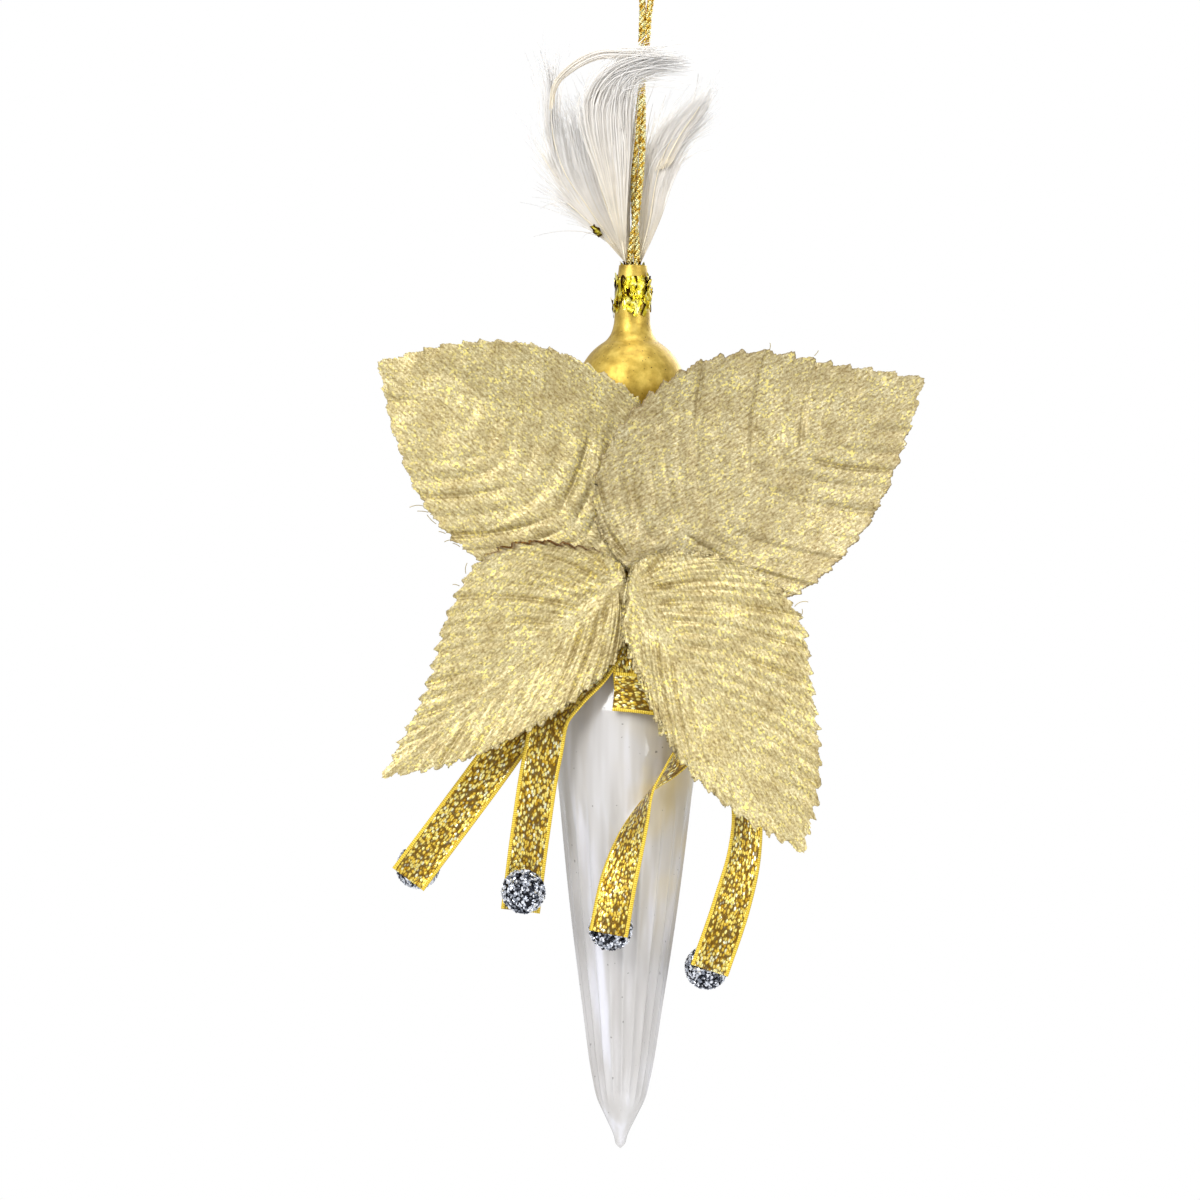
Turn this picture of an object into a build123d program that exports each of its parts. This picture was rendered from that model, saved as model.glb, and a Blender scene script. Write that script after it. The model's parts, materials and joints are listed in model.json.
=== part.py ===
"""Icicle hanging ornament: a blown-glass icicle with a gold ball top, four fabric leaves, a ribbon bow
with beaded tails and a tuft of feathers, hung by a loop of metallic cord.

Millimetres, +Z up, the leaves face -Y. The origin is where a hook bears on the top of the cord loop.
Every piece but the cord is drawn in the rim frame, whose origin is the centre of the glass neck's
mouth, and is then moved by RIM.
"""

import math
import os

from build123d import *

# ---------------------------------------------------------------- driving dimensions
RIM_DROP = 55.0  # from the hook down to the neck's mouth
CORD_LEAN = 2.0  # how far the loop leans sideways over that drop
BODY_LENGTH = 150.1  # from the mouth to the icicle's tip
WALL = 0.7  # glass wall

NECK_R = 2.35
BORE_R = NECK_R - WALL
BALL_R = 9.2
BALL_Z = -21.0
NECK_TURN = 34.0
WAIST_TURN = 147.1
WAIST_R = 4.2  # the narrow stem that the ribbon is tied round
WAIST_TOP_Z = -40.0
SEAM_Z = -43.0  # gold-lacquered glass above, pearl glass below
WAIST_END_Z = -51.0
SHOULDER_R = 12.2
SHOULDER_Z = -78.5
TAPER_TOP = (11.75, -86.0)  # (radius, z) where the fluted taper starts
TAPER_MID = (8.8, -112.3)
TAPER_END = (4.8, -138.6)
TIP_R = 0.8
FLUTES = 22
FLUTE_CUT_R = 1.15
FLUTE_DEPTH = 0.35

CORD_D = 1.1
CORD_PAIR_R = 0.64  # each leg's distance from the middle of the twisted pair
HOOK_R = 2.0
FOOT_LIFT = 0.8  # the swinging part of the cord starts this far above the mouth

FEATHER_T = 0.3
LEAF_T = 0.4
WIRE_R = 0.4
WIRE_SHARE = 0.6  # the wire's length as a share of the midrib's
GLUE_GAP = 0.05  # what is glued together is drawn this far apart
HINGE_GAP = 0.35  # between a leaf's wire and its stem, where the wire bends

RIBBON_W = 6.6
RIBBON_T = 0.4
BEAD_R = 3.65
KNOT_FRONT_Y = -7.6
GLUE_FRONT_Y = -8.4
STEM_BACK_Y = -6.0

RIM = Location((-CORD_LEAN, 0, -RIM_DROP))


# ---------------------------------------------------------------- glass
def ring_point(r, z):
    return Vector(r, 0, z)


def upper_outline(inset=0.0):
    """Neck, ball and waist down to the seam, as a chain of edges moved inwards by inset."""
    radius = BALL_R - inset
    turns = [math.radians(NECK_TURN + (WAIST_TURN - NECK_TURN) * i / 8) for i in range(9)]
    around = [ring_point(radius * math.sin(a), BALL_Z + radius * math.cos(a)) for a in turns]
    headings = [(math.cos(a), 0, -math.sin(a)) for a in (turns[0], turns[-1])]
    neck = Spline(
        ring_point(NECK_R - inset, 0),
        ring_point(2.85 - inset, -4.5),
        ring_point(3.1 - inset, -9.8),
        around[0],
        tangents=[(0.06, 0, -1), headings[0]],
    )
    ball = Spline(*around, tangents=headings)
    throat = Spline(
        around[-1],
        ring_point(WAIST_R - inset, WAIST_TOP_Z),
        tangents=[headings[1], (0, 0, -1)],
    )
    waist = Line(ring_point(WAIST_R - inset, WAIST_TOP_Z), ring_point(WAIST_R - inset, SEAM_Z))
    return [neck, ball, throat, waist]


def lower_outline(inset=0.0):
    """Waist, shoulder, taper and tip from the seam down, as a chain of edges moved inwards by inset."""
    tip = ring_point(TIP_R - 0.4 * inset, TIP_R - BODY_LENGTH + 3 * inset)
    waist = Line(ring_point(WAIST_R - inset, SEAM_Z), ring_point(WAIST_R - inset, WAIST_END_Z))
    shoulder = Spline(
        ring_point(WAIST_R - inset, WAIST_END_Z),
        ring_point(6.1 - 0.9 * inset, -58.6 - 0.4 * inset),
        ring_point(10.0 - 0.9 * inset, -68.0 - 0.3 * inset),
        ring_point(SHOULDER_R - inset, SHOULDER_Z),
        ring_point(TAPER_TOP[0] - inset, TAPER_TOP[1]),
        tangents=[(0, 0, -1), (-0.094, 0, -1)],
    )
    taper = ThreePointArc(*[ring_point(r - inset, z) for r, z in (TAPER_TOP, TAPER_MID, TAPER_END)])
    point = ThreePointArc(
        ring_point(TAPER_END[0] - inset, TAPER_END[1]),
        ring_point(3.15 - 0.8 * inset, -144.2 + 0.6 * inset),
        tip,
    )
    return [waist, shoulder, taper, point]


def turned(outline):
    """The solid of revolution about Z under a chain of edges."""
    start, end = outline[0] @ 0, outline[-1] @ 1
    cap = Line(ring_point(0, start.Z), start)
    floor = Line(end, ring_point(0, end.Z))
    spindle = Line(ring_point(0, end.Z), ring_point(0, start.Z))
    return revolve(make_face([cap, *outline, floor, spindle]), Axis.Z)


def flute_cutter():
    """An arched rod that stands off the taper at both ends and bites into it in between."""
    stand_off = FLUTE_CUT_R + 0.15
    bite = FLUTE_CUT_R - FLUTE_DEPTH
    path = ThreePointArc(
        ring_point(TAPER_TOP[0] + stand_off, TAPER_TOP[1]),
        ring_point(TAPER_MID[0] + bite, TAPER_MID[1]),
        ring_point(TAPER_END[0] + stand_off, TAPER_END[1] - 1),
    )
    return sweep(Plane(path @ 0, z_dir=path % 0) * Circle(FLUTE_CUT_R), path)


def gold_bulb():
    return turned(upper_outline()) - turned(upper_outline(WALL))


def icicle_glass():
    nose = Pos(0, 0, TIP_R - BODY_LENGTH) * Sphere(TIP_R)
    body = turned(lower_outline()) + nose - turned(lower_outline(WALL))
    cutter = flute_cutter()
    for i in range(FLUTES):
        body -= Rot(0, 0, i * 360 / FLUTES) * cutter
    return body


# ---------------------------------------------------------------- on the neck and in its bore
def foil_collar():
    """A thin crimped band of foil round the neck."""
    top, bottom = ring_point(2.75, -3.0), ring_point(3.2, -8.6)
    band = Vector(0.15, 0, 0)
    wall = Polyline(top, top + band, bottom + band, bottom, close=True)
    return revolve(make_face(wall), Axis.Z)


def foil_flakes():
    """Bent chips of foil standing off the collar in three uneven rows."""
    flakes = []
    for row, z in enumerate((-3.9, -5.6, -7.4)):
        for k in range(7):
            turn = k * 360 / 7 + row * 23 + (k % 3) * 6
            lift = 18 + (k * 37 + row * 17) % 24
            tall = 1.5 + 0.25 * ((k + row) % 3)
            out = 3.35 + 0.12 * row + 0.5 * tall * math.sin(math.radians(lift))
            chip = Rot(0, lift, 0) * Box(0.14, 0.85, tall)
            flakes.append(Rot(0, 0, turn) * Pos(out, 0, z) * chip)
    return Compound(children=flakes)


def cord_stubs():
    """The cord's two ends inside the bore, down to their knot."""
    leg = Pos(CORD_PAIR_R, 0, -4.1) * Cylinder(CORD_D / 2, 5.6)
    return [leg, Rot(0, 0, 180) * leg]


def cord_knot():
    """The knot that keeps the cord's ends under the glue, with both ends above it."""
    return Pos(0, 0, -7.9) * Sphere(1.4) + Pos(0, 0, -8.6) * Sphere(1.2) + cord_stubs()


def glue_plug():
    """Hot glue that fills the bore round the cord's ends and stops short of the mouth."""
    top, bottom = -1.8, -6.2
    return Pos(0, 0, (top + bottom) / 2) * Cylinder(BORE_R, top - bottom) - cord_stubs()


# ---------------------------------------------------------------- the cord loop
def cord_route():
    """The loop's corner points, up one leg, over the hook and down the other, about the origin.

    The two legs turn slowly about each other, 45 degrees from point to point.
    """
    heights = (FOOT_LIFT, 3.6, 7.0, 12.0, 18.0, 24.5, 31.0, 37.0, 43.0)
    over = HOOK_R + CORD_D / 2
    up, down = [], []
    for step, height in enumerate(heights):
        turn = math.radians(45 * step)
        middle = -CORD_LEAN * (1 - height / RIM_DROP)
        side, depth = CORD_PAIR_R * math.cos(turn), CORD_PAIR_R * math.sin(turn)
        up.append((middle - side, -depth, height - RIM_DROP))
        down.append((middle + side, depth, height - RIM_DROP))
    up += [(-1.5, -0.1, -7.6), (-over, 0, -4.2), (-over + 0.1, 0, CORD_D / 2)]
    down += [(1.3, 0.1, -7.6), (over, 0, -4.2), (over - 0.1, 0, CORD_D / 2)]
    return [Vector(*p) for p in up + down[::-1]]


def corner_radii(points):
    """The largest arc that each corner's two runs allow."""
    radii = []
    for before, corner, after in zip(points, points[1:], points[2:]):
        arriving, leaving = corner - before, after - corner
        half_turn = math.radians(arriving.get_angle(leaving)) / 2
        radii.append(0.45 * min(arriving.length, leaving.length) / math.tan(half_turn))
    return radii


def hanger_cord():
    points = cord_route()
    radii = corner_radii(points)
    path = FilletPolyline(*points, radius=radii)
    section = Plane(path @ 0, z_dir=path % 0) * Circle(CORD_D / 2)
    tube = sweep(section, path)
    share = tube.volume / (math.pi * CORD_D**2 / 4 * path.length)
    print("cord radii", [round(r, 1) for r in radii])
    print("cord length", round(path.length, 2), "volume over section times length", round(share, 4))
    return tube


# ---------------------------------------------------------------- feathers
# The side of each plume that faces the viewer, and its outline from foot to foot as (x, z).
FEATHERS = {
    "feather_left": (1.35, [
        (-1.2, 0.9), (-5.0, 5.6), (-11.0, 11.0), (-16.0, 18.6), (-17.0, 26.0),
        (-14.2, 32.5), (-10.4, 28.0), (-5.0, 15.0), (-0.6, 0.9)]),
    "feather_curl": (-1.9, [
        (-0.9, 0.9), (-5.4, 10.0), (-10.0, 21.0), (-11.4, 30.0), (-8.6, 35.4), (-2.0, 37.7),
        (8.8, 36.6), (9.0, 34.8), (0.8, 33.6), (-1.2, 28.0), (-0.6, 17.0), (-0.2, 0.9)]),
    "feather_right": (1.35, [
        (0.6, 0.9), (1.9, 14.0), (4.4, 21.5), (8.8, 27.0), (12.6, 30.4),
        (11.6, 26.0), (8.2, 20.0), (4.9, 11.0), (1.2, 0.9)]),
}


def plume(front_y, outline):
    edge = Spline(*[(x, front_y, z) for x, z in outline])
    foot = Line(edge @ 1, edge @ 0)
    return extrude(make_face([edge, foot]), FEATHER_T, dir=(0, 1, 0))


# ---------------------------------------------------------------- leaves and their wires
# base and tip are (x, y, z) at the two ends of the midrib, on the face towards the viewer. The two sides
# are outlines as (x, z), base and tip left out. The blade is cupped towards the viewer with radius cup.
LEAVES = {
    "upper_left": dict(
        base=(-1.6, -10.2, -51.0), tip=(-43.0, -4.6, -17.2), cup=60.0,
        upper=[(-0.8, -44.0), (0.8, -34.0), (2.2, -25.0), (-5.3, -18.7), (-15.6, -14.5), (-30.0, -14.0)],
        lower=[(-7.0, -53.2), (-16.0, -53.6), (-25.4, -50.3), (-34.8, -41.0), (-39.8, -29.8)]),
    "upper_right": dict(
        base=(0.6, -12.2, -50.6), tip=(49.5, -5.8, -18.7), cup=45.0,
        upper=[(-4.9, -45.4), (-5.9, -38.4), (-3.4, -30.4), (3.0, -22.8), (11.0, -17.2), (20.0, -14.9),
               (35.5, -16.8)],
        lower=[(8.0, -56.0), (18.0, -58.0), (28.0, -55.4), (39.4, -44.4), (46.6, -28.6)]),
    "lower_left": dict(
        base=(-1.9, -14.4, -54.4), tip=(-40.8, -16.6, -87.2), cup=110.0,
        upper=[(-1.5, -52.2), (-4.0, -49.6), (-10.2, -48.0), (-18.6, -47.7), (-25.4, -51.2), (-30.2, -60.0),
               (-33.4, -71.5)],
        lower=[(-0.9, -56.4), (-0.6, -60.0), (-1.3, -65.0), (-8.0, -73.0), (-18.9, -80.1), (-30.0, -84.9)]),
    "lower_right": dict(
        base=(0.9, -14.9, -54.4), tip=(29.8, -19.4, -98.6), cup=110.0,
        upper=[(0.6, -52.2), (3.6, -49.6), (11.0, -49.0), (20.4, -51.4), (27.6, -57.8), (30.9, -72.0),
               (32.2, -86.0)],
        lower=[(0.2, -56.6), (0.1, -60.4), (0.8, -66.0), (3.6, -73.8), (9.4, -84.0), (18.6, -92.2)]),
}


def midrib(leaf):
    """A plane at the leaf's base: its x runs along the midrib and its z points out of the front face."""
    base, tip = Vector(*leaf["base"]), Vector(*leaf["tip"])
    along = (tip - base).normalized()
    across = along.cross(Vector(0, 1, 0)).normalized()
    return Plane(base, x_dir=along, z_dir=along.cross(across)), (tip - base).length


def leaf_blade(leaf):
    """The outline, pushed straight through a thin shell that is cupped about the midrib."""
    plane, length = midrib(leaf)
    ends = [(leaf[end][0], leaf[end][2]) for end in ("base", "tip")]
    sides = []
    for side in ("upper", "lower"):
        points = [ends[0], *leaf[side], ends[1]]
        sides.append(Spline(*[(x, 0, z) for x, z in points]))
    prism = extrude(make_face(sides), 30, dir=(0, -1, 0))
    tube = Cylinder(leaf["cup"] + LEAF_T, 2 * length) - Cylinder(leaf["cup"], 2 * length)
    shell = plane.location * Pos(length / 2, 0, leaf["cup"]) * Rot(0, 90, 0) * tube
    return prism & shell


def wire_start(leaf):
    """The middle of the wire's section behind the leaf's base, where the wire bends."""
    plane, _ = midrib(leaf)
    return (plane.location * Pos(0, 0, -LEAF_T - GLUE_GAP - WIRE_R)).position


def leaf_wire(leaf):
    """The straight wire glued behind the midrib."""
    plane, length = midrib(leaf)
    wire_length = WIRE_SHARE * length
    rod = Rot(0, 90, 0) * Cylinder(WIRE_R, wire_length)
    return plane.location * Pos(wire_length / 2 + HINGE_GAP, 0, -LEAF_T - GLUE_GAP - WIRE_R) * rod


def stem_rod(leaf, radius, front_gap=0.0):
    """A rod along Y from just behind the wire's bend into the ribbon knot."""
    start = wire_start(leaf)
    front = start.Y + front_gap
    length = STEM_BACK_Y - front
    return Pos(start.X, front + length / 2, start.Z) * Rot(90, 0, 0) * Cylinder(radius, length)


def leaf_stem(leaf):
    """The rest of the wire, which runs back through the glue into the knot."""
    return stem_rod(leaf, WIRE_R, front_gap=WIRE_R + HINGE_GAP)


# ---------------------------------------------------------------- ribbons and beads
# Each section is (x, y, z, turn): a point on the ribbon's middle line, and by how many degrees its face
# is turned about that line, from 0, where it faces the viewer.
RIBBONS = {
    "ribbon_top_1": [(-4.8, -7.5, -56.6, 0), (-8.8, -8.9, -63.6, 0), (-12.6, -9.1, -70.8, 0)],
    "ribbon_top_2": [
        (-2.0, -8.4, -57.4, 0), (-3.0, -10.2, -63.5, 15), (-5.6, -11.5, -69.0, 36),
        (-9.2, -12.0, -72.8, 36), (-12.2, -11.8, -76.0, 20)],
    "ribbon_top_3": [
        (4.2, -8.3, -57.4, 0), (9.3, -10.8, -66.4, 0), (12.9, -12.2, -73.8, -12), (13.1, -12.4, -75.1, -18)],
    "ribbon_top_4": [(5.4, -6.9, -56.0, 0), (10.8, -8.4, -64.4, 0), (14.6, -9.2, -72.6, 0)],
    "ribbon_fold": [(0.8, -10.3, -57.4, 0), (0.7, -12.9, -66.4, 0), (1.4, -13.2, -75.8, 0)],
    "ribbon_tail_1": [
        (-13.1, -9.1, -71.8, 0), (-17.4, -9.1, -77.8, 0), (-21.4, -9.2, -83.6, 0),
        (-36.4, -9.4, -104.4, 0)],
    "ribbon_tail_2": [
        (-12.9, -11.6, -77.2, 10), (-14.0, -11.2, -83.0, 0), (-15.9, -10.7, -96.0, 0),
        (-17.4, -10.3, -109.4, 0)],
    "ribbon_tail_3": [
        (13.1, -12.5, -76.4, -20), (12.9, -12.6, -77.6, -26), (10.9, -12.9, -80.8, -46),
        (7.6, -13.3, -84.8, -64), (4.2, -14.2, -88.6, -90), (1.8, -15.3, -94.0, -122),
        (-0.8, -16.6, -102.6, -156), (-2.6, -17.4, -112.6, -176)],
    "ribbon_tail_4": [
        (14.9, -9.2, -73.6, 0), (18.0, -9.5, -82.0, -20), (20.3, -9.6, -92.0, -38),
        (20.0, -9.6, -99.0, -30), (18.0, -9.6, -108.0, -10), (14.5, -9.5, -119.0, 0)],
}
# Bead centres. Bead 2 is glued to the front of its ribbon, the others behind theirs.
BEADS = {
    "bead_1": (-34.9, -5.3, -102.5),
    "bead_2": (-16.9, -14.45, -105.9),
    "bead_3": (-2.2, -13.35, -111.9),
    "bead_4": (14.1, -5.5, -118.8),
}


def ribbon(sections):
    """A strip of ribbon, drawn straight from section to section."""
    points = [Vector(*section[:3]) for section in sections]
    rings = []
    for i, section in enumerate(sections):
        along = (points[min(i + 1, len(points) - 1)] - points[max(i - 1, 0)]).normalized()
        across = Vector(0, 1, 0).cross(along).normalized()
        plane = Plane(points[i], x_dir=across, z_dir=along)
        rings.append(plane * Rot(0, 0, section[3]) * Rectangle(RIBBON_W, RIBBON_T))
    return loft(rings, ruled=True)


def ribbon_wrap():
    """The ribbon's turn round the waist."""
    inner = WAIST_R + GLUE_GAP
    ring = Cylinder(inner + RIBBON_T, RIBBON_W) - Cylinder(inner, RIBBON_W)
    return Pos(0, 0, SEAM_Z - 1 - RIBBON_W / 2) * ring


def stem_holes():
    return [stem_rod(leaf, WIRE_R + GLUE_GAP) for leaf in LEAVES.values()]


def ribbon_knot(glass):
    """The knot on the front of the turn, with the leaf stems pushed into it."""
    back_y = -WAIST_R - RIBBON_T - 2 * GLUE_GAP
    deep = back_y - KNOT_FRONT_Y
    block = Pos(-0.4, back_y - deep / 2, -51.5) * Box(7.0, deep, 9.0)
    return fillet(block.edges(), 0.6) - glass - stem_holes()


def glue_dab():
    """Hot glue over the knot, which holds the four leaf stems."""
    deep = KNOT_FRONT_Y - GLUE_GAP - GLUE_FRONT_Y
    blob = Pos(-0.4, GLUE_FRONT_Y + deep, -52.4) * Rot(90, 0, 0) * extrude(Ellipse(3.4, 4.0), deep)
    return fillet(blob.faces().sort_by(Axis.Y)[0].edges(), 0.4) - stem_holes()


# ---------------------------------------------------------------- assembly
def build_parts():
    glass = turned(lower_outline(-GLUE_GAP))
    parts = {
        "gold_bulb": gold_bulb(),
        "icicle_glass": icicle_glass(),
        "foil_collar": foil_collar(),
        "foil_flakes": foil_flakes(),
        "cord_knot": cord_knot(),
        "glue_plug": glue_plug(),
        "glue_dab": glue_dab(),
        "ribbon_wrap": ribbon_wrap(),
        "ribbon_knot": ribbon_knot(glass),
    }
    for name, (front_y, outline) in FEATHERS.items():
        parts[name] = plume(front_y, outline)
    for name, leaf in LEAVES.items():
        parts[f"leaf_{name}"] = leaf_blade(leaf)
        parts[f"wire_{name}"] = leaf_wire(leaf)
        parts[f"stem_{name}"] = leaf_stem(leaf)
        print("leaf", name, "bends at", (RIM * Location(wire_start(leaf))).position)
    for name, sections in RIBBONS.items():
        parts[name] = ribbon(sections)
    for name, centre in BEADS.items():
        parts[name] = Pos(*centre) * Sphere(BEAD_R)
    parts = {name: RIM * shape for name, shape in parts.items()}
    parts["hanger_cord"] = hanger_cord()
    return parts


os.makedirs("parts", exist_ok=True)
for name, shape in build_parts().items():
    export_step(shape, f"parts/{name}.step")
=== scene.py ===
"""Looks of the icicle hanging ornament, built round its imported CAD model.

Metres, +Z up, the leaves face -Y. Shapes are written in millimetres in the rim frame, whose origin is
the centre of the glass neck's mouth, and rim_point() puts them in the row frame.
"""

import json
import math

import bmesh
import bpy
import numpy as np
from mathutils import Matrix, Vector, noise


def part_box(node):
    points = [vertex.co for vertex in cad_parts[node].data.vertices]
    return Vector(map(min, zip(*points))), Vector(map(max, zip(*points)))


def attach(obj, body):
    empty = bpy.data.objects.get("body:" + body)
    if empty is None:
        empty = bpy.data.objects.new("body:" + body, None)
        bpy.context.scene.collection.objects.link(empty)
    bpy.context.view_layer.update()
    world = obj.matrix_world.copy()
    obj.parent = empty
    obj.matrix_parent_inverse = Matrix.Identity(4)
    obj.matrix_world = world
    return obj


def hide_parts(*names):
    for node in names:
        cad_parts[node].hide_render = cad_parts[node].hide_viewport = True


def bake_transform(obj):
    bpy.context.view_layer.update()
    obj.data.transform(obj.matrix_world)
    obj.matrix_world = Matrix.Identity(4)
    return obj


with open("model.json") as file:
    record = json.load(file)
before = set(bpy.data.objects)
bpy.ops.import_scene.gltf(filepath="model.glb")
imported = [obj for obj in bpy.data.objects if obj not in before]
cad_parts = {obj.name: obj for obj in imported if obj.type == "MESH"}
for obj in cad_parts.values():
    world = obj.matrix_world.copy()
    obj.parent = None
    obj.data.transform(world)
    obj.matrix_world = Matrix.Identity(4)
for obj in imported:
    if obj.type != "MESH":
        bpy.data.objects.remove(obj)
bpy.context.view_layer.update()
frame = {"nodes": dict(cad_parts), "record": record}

MM = 0.001
bulb_low, bulb_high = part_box("gold_bulb")
RIM = np.array(((bulb_low.x + bulb_high.x) / 2, (bulb_low.y + bulb_high.y) / 2, bulb_high.z))


def rim_point(p):
    """A point, or rows of points, from millimetres in the rim frame to metres in the row frame."""
    return np.asarray(p, float) * MM + RIM


# ---------------------------------------------------------------- mesh helpers
def smooth_line(points, count):
    """count points evenly along a smooth curve through the given points, in any number of dimensions."""
    p = np.asarray(points, float)
    t = np.concatenate([[0], np.cumsum(np.linalg.norm(np.diff(p, axis=0), axis=1))])
    slope = np.gradient(p, t, axis=0)
    fine = np.linspace(0, t[-1], 40 * len(p))
    i = np.clip(np.searchsorted(t, fine, side="right") - 1, 0, len(t) - 2)
    step = (t[i + 1] - t[i])[:, None]
    u = (fine - t[i])[:, None] / step
    curve = (
        (2 * u**3 - 3 * u**2 + 1) * p[i]
        + (u**3 - 2 * u**2 + u) * step * slope[i]
        + (3 * u**2 - 2 * u**3) * p[i + 1]
        + (u**3 - u**2) * step * slope[i + 1]
    )
    length = path_length(curve)
    even = np.linspace(0, length[-1], count)
    return np.stack([np.interp(even, length, curve[:, k]) for k in range(p.shape[1])], axis=1)


def path_length(points):
    """Distance along a polyline at each of its points."""
    steps = np.linalg.norm(np.diff(points, axis=0), axis=1)
    return np.concatenate([[0], np.cumsum(steps)])


def unit(v):
    return v / np.maximum(np.linalg.norm(v, axis=-1, keepdims=True), 1e-12)


def carried_frames(points):
    """Tangents and two normals that are carried along a path without turning about it."""
    tangents = unit(np.gradient(points, axis=0))
    first = np.cross(tangents[0], (0.0, 1.0, 0.0))
    if np.linalg.norm(first) < 0.1:
        first = np.cross(tangents[0], (1.0, 0.0, 0.0))
    normals = [unit(first)]
    for tangent in tangents[1:]:
        kept = normals[-1] - tangent * np.dot(normals[-1], tangent)
        normals.append(unit(kept))
    normals = np.array(normals)
    return tangents, normals, np.cross(tangents, normals)


def grid_faces(rows, columns, closed=False, start=0):
    """Quads over a grid of points stored row by row; closed joins the last column to the first."""
    faces = []
    for r in range(rows - 1):
        for c in range(columns if closed else columns - 1):
            d = (c + 1) % columns
            a, b = start + r * columns, start + (r + 1) * columns
            faces.append((a + c, a + d, b + d, b + c))
    return faces


def tube(points, radius, sides):
    """Vertices and faces of a capped tube about a path; its radius may vary."""
    _, n, b = carried_frames(points)
    radius = np.broadcast_to(radius, len(points))[:, None, None]
    angle = np.linspace(0, 2 * math.pi, sides, endpoint=False)
    ring = np.cos(angle)[:, None] * n[:, None] + np.sin(angle)[:, None] * b[:, None]
    vertices = (points[:, None] + radius * ring).reshape(-1, 3)
    faces = grid_faces(len(points), sides, closed=True)
    last = (len(points) - 1) * sides
    faces.append(tuple(range(sides))[::-1])
    faces.append(tuple(range(last, last + sides)))
    return vertices, faces


class Pile:
    """Many small shapes gathered into one mesh, with a tone for each, from 0 to 1."""

    def __init__(self):
        self.vertices, self.faces, self.tones, self.count = [], [], [], 0

    def add(self, vertices, faces, tone=0.5):
        self.vertices.append(np.asarray(vertices, float))
        self.faces += [tuple(i + self.count for i in face) for face in faces]
        self.tones.append(np.broadcast_to(tone, len(vertices)))
        self.count += len(vertices)

    def make(self, name, material, smooth=True, uv=None):
        piece = make_mesh(name, np.concatenate(self.vertices), self.faces, material, smooth, uv)
        set_tones(piece, np.concatenate(self.tones))
        return piece


def set_tones(piece, tones):
    """One value from 0 to 1 for each vertex, which the materials read."""
    made = piece.data.attributes.new("tone", "FLOAT", "POINT")
    made.data.foreach_set("value", np.asarray(tones, np.float32))


def add_object(name, data):
    made = bpy.data.objects.new(name, data)
    bpy.context.scene.collection.objects.link(made)
    return made


def make_mesh(name, vertices, faces, material, smooth=True, uv=None):
    """A piece with one material; uv is a place on its cloth, in millimetres, for each vertex."""
    mesh = bpy.data.meshes.new(name)
    mesh.from_pydata(np.asarray(vertices, float).tolist(), [], faces)
    mesh.polygons.foreach_set("use_smooth", [smooth] * len(mesh.polygons))
    if uv is not None:
        loops = np.zeros(len(mesh.loops), int)
        mesh.loops.foreach_get("vertex_index", loops)
        layer = mesh.uv_layers.new(name="surface_mm")
        layer.data.foreach_set("uv", np.asarray(uv, np.float32)[loops].ravel())
    mesh.materials.append(material)
    mesh.update()
    return add_object(name, mesh)


def weld(piece, distance=2e-6):
    """Joins doubled points and turns the faces outwards."""
    shell = bmesh.new()
    shell.from_mesh(piece.data)
    bmesh.ops.remove_doubles(shell, verts=shell.verts, dist=distance)
    bmesh.ops.recalc_face_normals(shell, faces=shell.faces)
    shell.to_mesh(piece.data)
    shell.free()


def solidify(piece, thickness):
    thick = piece.modifiers.new("thickness", "SOLIDIFY")
    thick.thickness = thickness
    thick.offset = -1


def place(piece, body, slot, *nodes):
    """Puts a finished piece on its body, in place of its CAD nodes; slot is not used."""
    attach(piece, body)
    if nodes:
        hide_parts(*nodes)


# ---------------------------------------------------------------- material helpers
def srgb(r, g, b):
    """A display colour from 0 to 255 as linear light."""
    shares = (c / 255 for c in (r, g, b))
    return tuple(c / 12.92 if c <= 0.04045 else ((c + 0.055) / 1.055) ** 2.4 for c in shares)


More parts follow.
